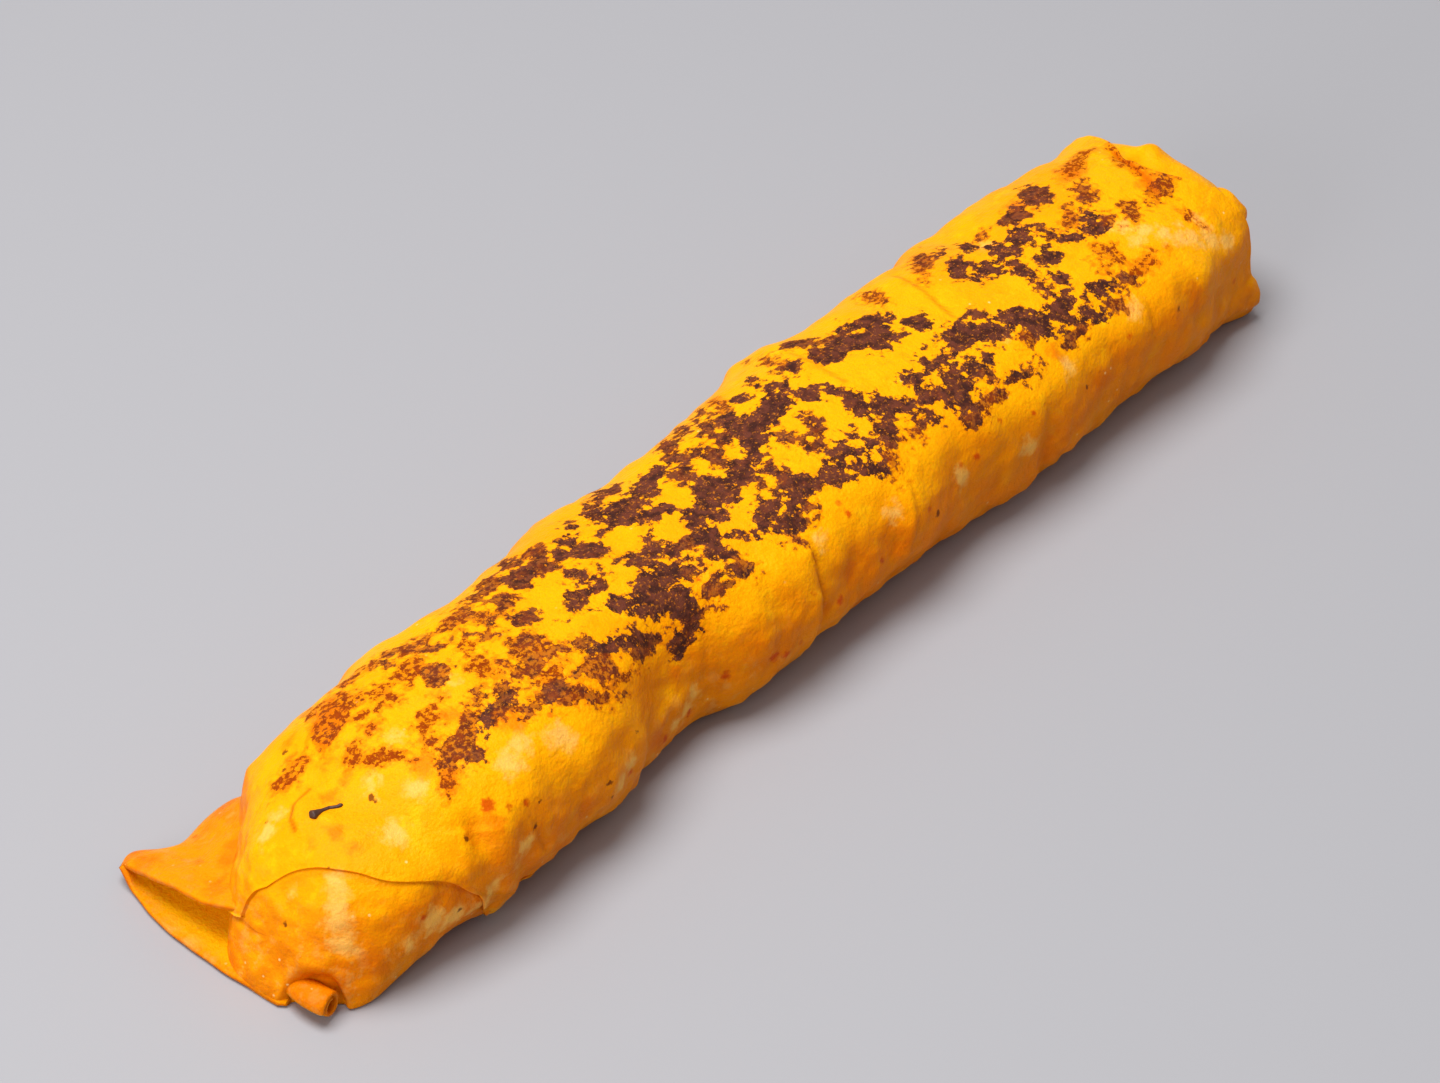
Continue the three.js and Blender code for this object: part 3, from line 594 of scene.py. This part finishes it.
def lip(angle):
    """The sheet is pressed thin over the top of the near end, and lifts off on the right flank."""
    return mix(mix(0.12, 0.4, smooth(45, 80, angle)), SHEET, smooth(146, 178, angle))


def far_edge(angle):
    return FAR + 0.5 - 7.5 * swell(angle, 92, 36) - 2 * swell(angle, 240, 40)


def outer_along(t, angle):
    """Rings follow the sheet's two edges, and stand straight across the roll between them."""
    settle = 0.16
    pace = ROLL_LENGTH * 0.35
    even = mix(NEAR, FAR, t)
    start = near_edge(angle) + t * pace
    end = far_edge(angle) - (1 - t) * pace
    return mix(mix(start, even, smooth(0, settle, t)), end, smooth(1 - settle, 1, t))


def around_the_roll(fine, coarse):
    """Angles round the roll, close together where it shows and wider underneath."""
    seen = np.linspace(-40, 222, fine, endpoint=False)
    under = np.linspace(222, 320, coarse, endpoint=False)
    return np.concatenate([seen, under]) % 360


def outer_turn():
    angles = around_the_roll(186, 26)
    t, angle = np.meshgrid(np.linspace(0, 1, OUTER_RINGS), angles, indexing="ij")
    x = outer_along(t, angle)
    outside, across, line = roll_surface(x, angle, angles)
    depth, dark = griddle_marks(x, across)

    def edge(row, way):
        """A rounded edge as thick as the sheet, then the inside that the roll hides."""
        rim, place = outside[row], x[row]
        out = normals_of(outside)[row]
        half = (lip(angles) if way < 0 else np.full(len(angles), SHEET)) / 2
        rings = []
        for turn in np.linspace(0, math.pi, EDGE_RINGS + 1)[1:]:
            ring = rim - out * (half * (1 - math.cos(turn)))[:, None]
            ring[:, 0] += way * half * math.sin(turn)
            rings.append(ring)
        for deep, shift in HIDDEN_RINGS:
            ring = skin(place, angles, -deep, INSIDE_FLOOR, OUTER_NEAR, OUTER_FAR)
            ring[:, 0] -= way * shift
            rings.append(ring)
        return rings

    near_side = edge(0, -1)[::-1]
    far_side = edge(-1, 1)
    grid = np.concatenate([near_side, outside, far_side])
    rows = [0] * len(near_side) + list(range(OUTER_RINGS)) + [-1] * len(far_side)
    values = {"mark_depth": depth[rows], "mark_dark": dark[rows], "fold_shade": line[rows]}
    return closed_mesh("rolled_sheet", grid, values)


# ---- The inner turn, seen at both ends ----
CORE_FLOOR = 0.12
# The hollow in which the rolled hem lies: how deep, where across, how wide and how high.
HEM_RECESS = 2.8
HEM_ACROSS = -11.2
HEM_WIDE = 4.7
HEM_HIGH = 8.2
FAR_CORE = FAR + 5.5


def inner_stretch(name, start, end, rings):
    even = (1 - np.cos(math.pi * np.linspace(0, 1, rings))) / 2
    x, angle = np.meshgrid(mix(start, end, even), around_the_roll(170, 30), indexing="ij")
    hidden = SHEET * smooth(-96, -84, x) * (1 - smooth(108, 118, x))
    over_end = smooth(20, 50, angle) * (1 - smooth(240, 300, angle))
    pressed_thin = (1 - smooth(-124, -104, x)) * over_end
    grow = -mix(SHEET, lip(angle), pressed_thin)
    grid = skin(x, angle, grow, CORE_FLOOR + hidden, NEAR - 0.6, FAR_CORE)
    y, z = grid[..., 1], grid[..., 2]
    behind_hem = np.hypot((y - HEM_ACROSS) / HEM_WIDE, z / HEM_HIGH)
    near_face = 1 - smooth(-120, -112, x)
    grid[..., 0] += near_face * HEM_RECESS * (1 - smooth(0.62, 1.12, behind_hem))
    # Painted shade: a dark line along the crease under the outer sheet's edge, fainter over the top, and
    # a dark ring round the hollow behind the hem.
    crease = swell(x, near_edge(angle) - 0.2, mix(0.4, 0.9, smooth(150, 185, angle)))
    line = np.where(x < 0, crease, 0)
    faint = smooth(62, 80, angle) * mix(0.32, 0.6, smooth(125, 150, angle))
    line = np.maximum(faint * line, 0.5 * near_face * swell(behind_hem, 0.95, 0.16))
    grid = pressed_out(drawn_end(grid), 0.8, dented(x, angle))
    return closed_mesh(name, grid, {"fold_shade": line})


def folded_end():
    return inner_stretch("folded_end", NEAR - 0.55, -62, 150)


def far_tuck():
    return inner_stretch("far_tuck", 104, FAR_CORE - 0.05, 110)


# ---- The open corner: a flattened sleeve of two layers ----
EAR_BACK = -86
EAR_TIP = 36.2
EAR_INNER = -7.4
EAR_FLOOR = 0.2
POCKET_DEPTH = 0.3
POCKET_RINGS = 30
POCKET_MOUTH = 8  # over how many of them the lighter tone inside dies away
LOWER_LIP = -130.1
UPPER_LIP = -126.4


def lower_lip(y):
    curved = LOWER_LIP + 0.0062 * np.maximum(y - 5, 0) ** 2 + 0.5 * np.maximum(-6.2 - y, 0) ** 2
    return curved + 0.25 * lumps(y / 5, y * 0 + 3, y * 0)


def upper_lip(y):
    curved = UPPER_LIP + 0.02 * np.maximum(14 - y, 0) ** 2 + 0.0062 * np.maximum(y - 16, 0) ** 2
    return curved + 0.3 * lumps(y / 6, y * 0 + 8, y * 0)


def ear_ring(t, inset, reach, sides=58):
    """Along the lower layer from right to left, and back over the upper one."""
    x = mix(-129, EAR_BACK, t)
    flare = 6.2 * swell(x, -127, 6.5) + 2.4 * swell(x, -110, 8)
    fold = EAR_TIP - 6 + flare - 14 * smooth(-108, EAR_BACK, x)
    height = mix(8.6, 25, smooth(-126, -90, x))
    width = fold - inset - EAR_INNER
    share = np.linspace(0, 1, sides)
    out = share**1.6 * width
    y = fold - inset - out
    roof = height * np.minimum(out / (fold - 6), 1) ** 0.5
    flat = y * 0
    wrinkled = lumps(x / 7 + flat, y / 5, flat + 2) * 0.6
    wrinkled = wrinkled + lumps(x / 3 + flat, y / 2.6, flat + 5) * 0.22
    roof = roof + wrinkled * smooth(0, 4, out)
    tip = mix(1, 2.4, swell(x, -127, 8))
    upper = [mix(upper_lip(y) - reach, EAR_BACK, t), y, EAR_FLOOR + tip + np.maximum(roof - inset, inset)]
    tucked = 2.5 * smooth(-118, -106, x) * smooth(10, 22, out)
    raised = tip * (1 - smooth(0, 4.5, out))
    lower = [mix(lower_lip(y) - reach, EAR_BACK, t), y, EAR_FLOOR + raised + tucked + inset]
    under, over = np.stack(lower, -1)[::-1], np.stack(upper, -1)[1:]
    return np.concatenate([under, over])


def open_corner():
    """Outside, rounded lips and pocket are one surface, from the pocket's end to the back."""
    pocket = [
        ear_ring(t * POCKET_DEPTH, mix(SHEET, SHEET * 1.7, smooth(0.3, 1, t)), 0)
        for t in np.linspace(1, 0, POCKET_RINGS)
    ]
    lips = [
        ear_ring(0, SHEET / 2 * (1 + math.cos(turn)), SHEET / 2 * math.sin(turn))
        for turn in np.linspace(0, math.pi, 7)[1:-1]
    ]
    outside = [ear_ring(t, 0, 0) for t in np.linspace(0, 1, 70)]
    grid = np.stack(pocket + lips + outside)
    # Painted light inside the pocket, fading out over its mouth.
    mouth = np.linspace(1, 0, POCKET_MOUTH)
    past = np.zeros(len(grid) - POCKET_RINGS)
    deep_in = np.concatenate([np.ones(POCKET_RINGS - POCKET_MOUTH), mouth, past])
    return closed_mesh("open_corner", grid, {"inside": np.repeat(deep_in, grid.shape[1])})


# ---- The rolled hem at the foot of the near end ----
# Its start, its bend and its end on the floor.
HEM_PATH = np.array([(-125.4, -3.4, 0), (-127.9, -9.6, 0), (-126.9, -15.2, 0)])
HEM_RADIUS = 2.9
HEM_NARROW = 0.72
HEM_TURNS = 1.3
HEM_TIGHTEN = 1.0


def rolled_hem():
    """A spiral of the sheet that follows a bent path."""
    turn = np.linspace(0, HEM_TURNS, 66)
    radius = HEM_RADIUS - HEM_TIGHTEN * turn
    thick = SHEET * mix(0.9, 0.6, turn / HEM_TURNS)

    def section(place, along, size, inset):
        across = np.cross([0, 0, 1], along)
        half = thick / 2 * (1 - inset)
        middle = radius - thick / 2
        rings = []
        for r in (middle + half, middle - half):
            sideways = -r * np.cos(turn * 2 * math.pi) * size
            up = (r * np.sin(turn * 2 * math.pi) + HEM_RADIUS) * size + EAR_FLOOR
            rings.append(place + sideways[:, None] * across + up[:, None] * [0, 0, 1])
        return np.concatenate([rings[0], rings[1][::-1]])

    start, bend, end = HEM_PATH
    sections = []
    for t in np.linspace(0, 1, 30):
        place = mix(mix(start, bend, t), mix(bend, end, t), t)
        along = mix(bend - start, end - bend, t)
        along = along / np.linalg.norm(along)
        rounding = max(0.0, 1 - (1 - t) / 0.06) ** 2
        size = mix(HEM_NARROW, 1, smooth(0, 0.7, t))
        sections.append(section(place, along, size, 0.5 * rounding))
    grid = np.stack(sections)
    rings, count = grid.shape[:2]
    faces = []
    for i in range(rings - 1):
        for k in range(count):
            n = (k + 1) % count
            faces.append([i * count + k, i * count + n, (i + 1) * count + n, (i + 1) * count + k])
    for row, flip in ((0, True), ((rings - 1) * count, False)):
        for k in range(count // 2 - 1):
            cap = [row + k, row + k + 1, row + count - 2 - k, row + count - 1 - k]
            faces.append(cap[::-1] if flip else cap)
    return shape("rolled_hem", grid.reshape(-1, 3) * 0.001, faces)


# ---- The knob of folded sheet high on the far end ----
KNOB_AT = (FAR - 1.6, -12.4, 17.4)
KNOB_SIZE = (7.0, 7.0, 6.4)
# Its furrows: angle, how deep, how wide. The first is the crease.
KNOB_FURROWS = [(62, 0.2, 16), (205, 0.16, 24), (330, 0.14, 20)]


def far_knob():
    """A corner of the sheet folded in on itself, with a crease down its face."""
    rows, columns = np.radians(np.linspace(3, 177, 72)), np.arange(0, 360, 3.0)
    polar, angle = np.meshgrid(rows, columns, indexing="ij")
    wide = np.sin(polar) ** 0.7
    furrow = 1
    for at, deep, width in KNOB_FURROWS:
        furrow = furrow - deep * swell(angle, at, width)
    turn = np.radians(angle + 14 * np.cos(polar))
    x = KNOB_AT[0] - KNOB_SIZE[0] * np.cos(polar)
    y = KNOB_AT[1] + KNOB_SIZE[1] * wide * np.cos(turn) * furrow
    z = KNOB_AT[2] + KNOB_SIZE[2] * wide * np.sin(turn) * furrow
    rumple = 0.6 * lumps(x / 4, y / 3.4, z / 3.4)
    # Painted shade along the knob's crease.
    line = swell(angle, KNOB_FURROWS[0][0], 7) * smooth(0.3, 0.8, wide)
    grid = pressed_out(np.stack([x, y, z], -1), 1.2, rumple)
    return closed_mesh("far_knob", grid, {"fold_shade": line})


# ---- The burnt bit of spice that lies on the near end ----
# From its head to the end of its stalk: place along the roll, place round it, radius.
BIT_PLACES = [
    (-124.2, -5.1, 0.5), (-123.5, -4.7, 0.95), (-122.7, -4.3, 0.6), (-121.6, -3.8, 0.34),
    (-120, -2.9, 0.3), (-118.4, -1.3, 0.32), (-117.2, -0.6, 0.42),
]
BIT_RAISED = 0.05


def burnt_bit():
    """A round head with a thin bent stalk."""
    line = np.array([(*on_roll(x, down), radius) for x, down, radius in BIT_PLACES])
    dense = np.linspace(0, len(line) - 1, 60)
    spine = np.stack([np.interp(dense, np.arange(len(line)), line[:, k]) for k in range(4)], -1)
    along = np.gradient(spine[:, :3], axis=0)
    along /= np.linalg.norm(along, axis=1, keepdims=True)
    aside = np.cross([0, 0, 1], along)
    aside /= np.linalg.norm(aside, axis=1, keepdims=True)
    up = np.cross(along, aside)
    angle = np.radians(np.arange(0, 360, 15))
    ends = np.sqrt(np.clip(np.minimum(dense, dense[::-1]) / 0.5, 0.02, 1))
    radius = spine[:, 3] * ends
    rings = []
    for point, a, u, r in zip(spine[:, :3] + [0, 0, BIT_RAISED], aside, up, radius):
        rough = r * (1 + 0.16 * lumps(np.cos(angle) * 2, np.sin(angle) * 2, point[0] * 1.5 + angle * 0))
        sideways = a * (rough * np.cos(angle))[:, None]
        rings.append(point + sideways + u * (rough * np.sin(angle))[:, None])
    return closed_mesh("burnt_bit", np.stack(rings))


# ---- Finishes ----
class Finish:
    """A material that is put together from nodes."""

    def __init__(self, name):
        self.material = bpy.data.materials.new(name)
        self.material.use_nodes = True
        self.nodes = self.material.node_tree.nodes
        self.links = self.material.node_tree.links
        self.shader = self.nodes["Principled BSDF"]
        self.place = self.nodes.new("ShaderNodeTexCoord").outputs["Object"]

    def feed(self, socket, value):
        if isinstance(value, bpy.types.NodeSocket):
            self.links.new(value, socket)
        else:
            socket.default_value = value

    def sums(self, operation, a, b=0.0, c=0.0):
        node = self.nodes.new("ShaderNodeMath")
        node.operation = operation
        for socket, value in zip(node.inputs, (a, b, c)):
            self.feed(socket, value)
        return node.outputs[0]

    def step(self, value, low, high, to_low=0.0, to_high=1.0):
        """A soft step from low to high."""
        node = self.nodes.new("ShaderNodeMapRange")
        node.interpolation_type = "SMOOTHSTEP"
        labels = ("Value", "From Min", "From Max", "To Min", "To Max")
        for label, number in zip(labels, (value, low, high, to_low, to_high)):
            self.feed(node.inputs[label], number)
        return node.outputs["Result"]

    def blend(self, amount, a, b, kind="MIX"):
        node = self.nodes.new("ShaderNodeMix")
        node.data_type = "RGBA"
        node.blend_type = kind
        for socket, value in ((node.inputs[0], amount), (node.inputs[6], a), (node.inputs[7], b)):
            self.feed(socket, value)
        return node.outputs[2]

    def scaled(self, amount, by):
        return self.sums("MULTIPLY", amount, by)

    def noise(self, millimetres, detail=2.0, rough=0.5):
        node = self.nodes.new("ShaderNodeTexNoise")
        self.feed(node.inputs["Vector"], self.place)
        node.inputs["Scale"].default_value = 1000 / millimetres
        node.inputs["Detail"].default_value = detail
        node.inputs["Roughness"].default_value = rough
        return node.outputs["Fac"]

    def cells(self, millimetres):
        node = self.nodes.new("ShaderNodeTexVoronoi")
        self.feed(node.inputs["Vector"], self.place)
        node.inputs["Scale"].default_value = 1000 / millimetres
        return node.outputs["Distance"], node.outputs["Color"]

    def value(self, label):
        node = self.nodes.new("ShaderNodeAttribute")
        node.attribute_name = label
        return node.outputs["Fac"]

    def placed(self, axis):
        node = self.nodes.new("ShaderNodeSeparateXYZ")
        self.feed(node.inputs[0], self.place)
        return node.outputs[axis]

    def texture(self):
        """The bread's fine texture: pores and small wrinkles."""
        pores = self.sums("ADD", self.noise(0.7, 3, 0.6), self.scaled(self.noise(2.4, 3), 1.6))
        return self.sums("ADD", pores, self.scaled(self.noise(5.5, 4, 0.6), 2.0))

    def sheen(self, rough):
        """Roughness that wanders a little above the amount given."""
        wander = self.sums("MULTIPLY_ADD", self.noise(4, 3), 0.2, rough)
        self.feed(self.shader.inputs["Roughness"], wander)

    def bump(self, height, strength, millimetres):
        node = self.nodes.new("ShaderNodeBump")
        node.inputs["Strength"].default_value = strength
        node.inputs["Distance"].default_value = millimetres / 1000
        self.feed(node.inputs["Height"], height)
        self.feed(self.shader.inputs["Normal"], node.outputs["Normal"])


def rgb(r, g, b):
    """A colour as the eye names it, 0 to 255, made linear."""
    linear = [v / 255 / 12.92 if v <= 10 else ((v / 255 + 0.055) / 1.055) ** 2.4 for v in (r, g, b)]
    return (*linear, 1.0)


def bread_colour(f):
    """Turmeric-yellow bread, orange where it is steep as painted shade, with pale, toasted, red and brown
    spots.
    """
    broad = f.noise(21, 3, 0.55)
    mottle = f.noise(3.2, 4, 0.6)
    low = f.step(f.placed("Z"), 0.002, 0.024, 1.0, 0.0)
    # Painted shade: steep flanks go deeper orange; broad random patches add some orange anywhere.
    steep_shade = f.step(f.value("facing_up"), 0.15, 0.8, 1.0, 0.0)
    deep = f.sums("ADD", f.scaled(steep_shade, 0.78), f.scaled(f.step(broad, 0.42, 0.66), 0.25))
    colour = f.blend(deep, rgb(251, 168, 1), rgb(236, 124, 0))
    colour = f.blend(f.scaled(f.step(mottle, 0.47, 0.72), 0.4), colour, rgb(240, 142, 0))
    # Yellower patches, fewer on steep flanks: partly painted highlight on the top.
    light = f.scaled(f.step(f.noise(4.6, 4, 0.62), 0.55, 0.72), f.sums("MULTIPLY_ADD", steep_shade, -0.4, 0.55))
    colour = f.blend(light, colour, rgb(253, 188, 8))
    # Darker orange patches low on the flanks, placed by noise: partly painted shade of hollows, partly
    # the filling's tone showing through.
    hollow = f.scaled(f.step(f.noise(7.5, 3, 0.6), 0.5, 0.66), f.scaled(low, 0.55))
    colour = f.blend(hollow, colour, rgb(208, 98, 0))
    # Thin places are paler low down, and more so towards the near end.
    low_and_near = f.scaled(low, f.step(f.placed("X"), 0.03, -0.03, 0.06, 0.42))
    thin = f.scaled(f.step(f.noise(3.0, 4, 0.7), 0.51, 0.64), low_and_near)
    colour = f.blend(thin, colour, rgb(230, 164, 80))
    ragged = f.sums("MULTIPLY_ADD", f.noise(2.6, 3, 0.6), 6.0, -3.0)
    fine = f.sums("MULTIPLY_ADD", f.noise(0.9, 2, 0.5), 1.6, -0.8)
    uneven = f.sums("MULTIPLY_ADD", f.noise(1.6, 3, 0.6), 4.0, -2.0)
    pale = f.step(f.sums("ADD", f.sums("ADD", f.value("pale"), ragged), uneven), -0.9, 1.9)
    colour = f.blend(f.scaled(pale, 0.85), colour, rgb(250, 184, 84))
    toast = f.step(f.sums("ADD", f.value("toast"), ragged), -0.8, 1.8)
    colour = f.blend(f.scaled(toast, 0.6), colour, rgb(222, 104, 2))
    distance, tone = f.cells(7.5)
    fleck = f.scaled(f.step(distance, 0.12, 0.05), f.step(tone, 0.62, 0.7))
    colour = f.blend(f.scaled(fleck, 0.6), colour, rgb(214, 84, 8))
    red = f.step(f.sums("ADD", f.value("red"), fine), -0.5, 0.45)
    pepper = f.blend(f.noise(9, 1), rgb(238, 78, 2), rgb(160, 44, 2))
    colour = f.blend(f.scaled(red, 0.85), colour, pepper)
    # Painted shade: the colour darkens along the fold lines and creases.
    colour = f.blend(f.scaled(f.value("fold_shade"), 0.8), colour, rgb(178, 76, 0))
    speck = f.step(f.sums("ADD", f.value("speck"), fine), -0.25, 0.15)
    colour = f.blend(f.scaled(speck, 0.85), colour, rgb(104, 38, 8))
    # Small wet glints, mostly low on the flanks, painted as pale dots.
    distance, tone = f.cells(2.3)
    chosen = f.step(f.sums("ADD", tone, f.scaled(low, 0.2)), 0.82, 0.9)
    glint = f.scaled(f.step(distance, 0.15, 0.07), chosen)
    return f.blend(f.scaled(glint, 0.6), colour, rgb(255, 222, 150))


def griddled_bread():
    f = Finish("griddled_flatbread")
    bread = bread_colour(f)
    depth, dark = f.value("mark_depth"), f.value("mark_dark")
    ragged = f.sums("MULTIPLY_ADD", f.noise(4.6, 2, 0.55), 7.0, -3.5)
    crumbly = f.sums("MULTIPLY_ADD", f.noise(1.5, 3, 0.62), 7.5, -3.75)
    reach = f.sums("ADD", f.sums("ADD", depth, ragged), crumbly)
    charred = f.step(reach, -0.6, -0.2)
    toasted = f.step(reach, f.sums("MULTIPLY_ADD", dark, 2.6, -3.6), -0.3)
    # The darkest marks are burnt through; lighter ones are brown and let the bread show in gaps.
    patchy = f.sums("MULTIPLY_ADD", f.noise(1.7, 3, 0.6), 0.7, f.sums("SUBTRACT", dark, 0.35))
    burnt = f.step(patchy, 0.35, 0.95)
    brown = f.blend(f.noise(1.3, 2), rgb(170, 70, 2), rgb(122, 44, 4))
    black = f.blend(f.step(f.noise(2.2, 3, 0.6), 0.38, 0.62), rgb(64, 34, 28), rgb(104, 54, 38))
    char = f.blend(burnt, brown, black)
    holes = f.scaled(f.step(f.noise(1.1, 3, 0.65), 0.47, 0.58), f.step(dark, 0.9, 0.5, 0.0, 0.95))
    grains = f.scaled(f.step(f.noise(0.75, 3, 0.7), 0.56, 0.66), 0.5)
    holes = f.sums("MAXIMUM", holes, grains)
    strength = f.scaled(charred, f.sums("SUBTRACT", 1.0, holes))
    colour = f.blend(f.scaled(toasted, 0.6), bread, rgb(210, 98, 0))
    colour = f.blend(strength, colour, char)
    f.feed(f.shader.inputs["Base Color"], colour)
    f.sheen(f.sums("MULTIPLY_ADD", strength, 0.35, 0.32))
    f.bump(f.sums("ADD", f.texture(), f.scaled(strength, 0.5)), 0.75, 0.3)
    return soft(f)


def plain_bread(name, brown_and_shade=0.0):
    f = Finish(name)
    # Blended browner: partly the sheet's own tone, partly painted shade on the corner's top.
    colour = f.blend(brown_and_shade, bread_colour(f), rgb(208, 100, 0))
    # The pocket is painted lighter, in place of the light that a thin upper layer lets through.
    colour = f.blend(f.scaled(f.value("inside"), 0.8), colour, rgb(255, 186, 6))
    f.feed(f.shader.inputs["Base Color"], colour)
    f.sheen(0.3)
    f.bump(f.texture(), 0.75, 0.3)
    return soft(f)


def burnt_spice():
    f = Finish("burnt_spice")
    colour = f.blend(f.noise(0.8, 2), rgb(38, 20, 14), rgb(92, 46, 24))
    f.feed(f.shader.inputs["Base Color"], colour)
    f.feed(f.shader.inputs["Roughness"], 0.5)
    f.bump(f.noise(0.5, 2), 0.5, 0.15)
    return f.material


def soft(f):
    """Light sinks a little way into the bread."""
    f.shader.inputs["Subsurface Weight"].default_value = 0.2
    f.shader.inputs["Subsurface Radius"].default_value = (1.0, 0.42, 0.12)
    f.shader.inputs["Subsurface Scale"].default_value = 0.003
    f.shader.inputs["Specular IOR Level"].default_value = 0.04
    return f.material


# ---- Making and placing the pieces ----
GRIDDLED = griddled_bread()
PLAIN = plain_bread("folded_flatbread")
CORNER = plain_bread("corner_flatbread", 0.5)
SPICE = burnt_spice()
SPOTS = spots()


def give_facing(piece):
    """How far upwards the sheet faces at every point: 1 on top, 0 on a steep flank."""
    facing = np.empty(len(piece.data.vertices) * 3)
    piece.data.vertex_normals.foreach_get("vector", facing)
    give_values(piece.data, "facing_up", facing[2::3].copy())


def place(piece, material):
    piece.data.materials.append(material)
    give_facing(piece)
    give_spots(piece, SPOTS)
    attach(piece, "root")
    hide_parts("wrap")


place(outer_turn(), GRIDDLED)
for make in (folded_end, far_tuck, far_knob):
    place(make(), PLAIN)
for make in (open_corner, rolled_hem):
    place(make(), CORNER)
place(burnt_bit(), SPICE)


# ---- Floor, light and camera, in metres ----
FLOOR_REACH = 3.0
CAMERA_AT = (-0.5247, -0.4192, 0.5573)
CAMERA_AIM = (-0.0116, -0.0037, 0.0226)
CAMERA_LENS = 120
CAMERA_SENSOR = 36
SKY = 0.36
# Each lamp: name, place, size, watts.
LAMPS = [("window", (-0.18, 0.2, 1.2), 0.9, 18.5), ("side", (-1.1, -0.06, 0.45), 0.6, 4.5)]


def aimed(place, aim):
    return (Vector(aim) - Vector(place)).to_track_quat("-Z", "Y").to_euler()


def floor():
    r = FLOOR_REACH
    corners = np.array([(-r, -r, 0), (r, -r, 0), (r, r, 0), (-r, r, 0)])
    piece = shape("floor", corners, [[0, 1, 2, 3]])
    f = Finish("pale_floor")
    f.shader.inputs["Base Color"].default_value = rgb(160, 159, 163)
    f.shader.inputs["Roughness"].default_value = 0.6
    piece.data.materials.append(f.material)


def soft_light(name, place, size, watts):
    lamp = bpy.data.lights.new(name, "AREA")
    lamp.shape = "DISK"
    lamp.size = size
    lamp.energy = watts
    holder = bpy.data.objects.new(name, lamp)
    holder.location = place
    holder.rotation_euler = aimed(place, (0, 0, 0))
    bpy.context.scene.collection.objects.link(holder)


def studio():
    scene = bpy.context.scene
    world = bpy.data.worlds.new("studio")
    world.use_nodes = True
    sky = world.node_tree.nodes["Background"].inputs
    sky["Color"].default_value = (1, 1, 1, 1)
    sky["Strength"].default_value = SKY
    scene.world = world
    scene.view_settings.view_transform = "Standard"
    for lamp in LAMPS:
        soft_light(*lamp)
    eye = bpy.data.cameras.new("camera")
    eye.lens = CAMERA_LENS
    eye.sensor_width = CAMERA_SENSOR
    holder = bpy.data.objects.new("camera", eye)
    holder.location = CAMERA_AT
    holder.rotation_euler = aimed(CAMERA_AT, CAMERA_AIM)
    scene.collection.objects.link(holder)
    scene.camera = holder


floor()
studio()
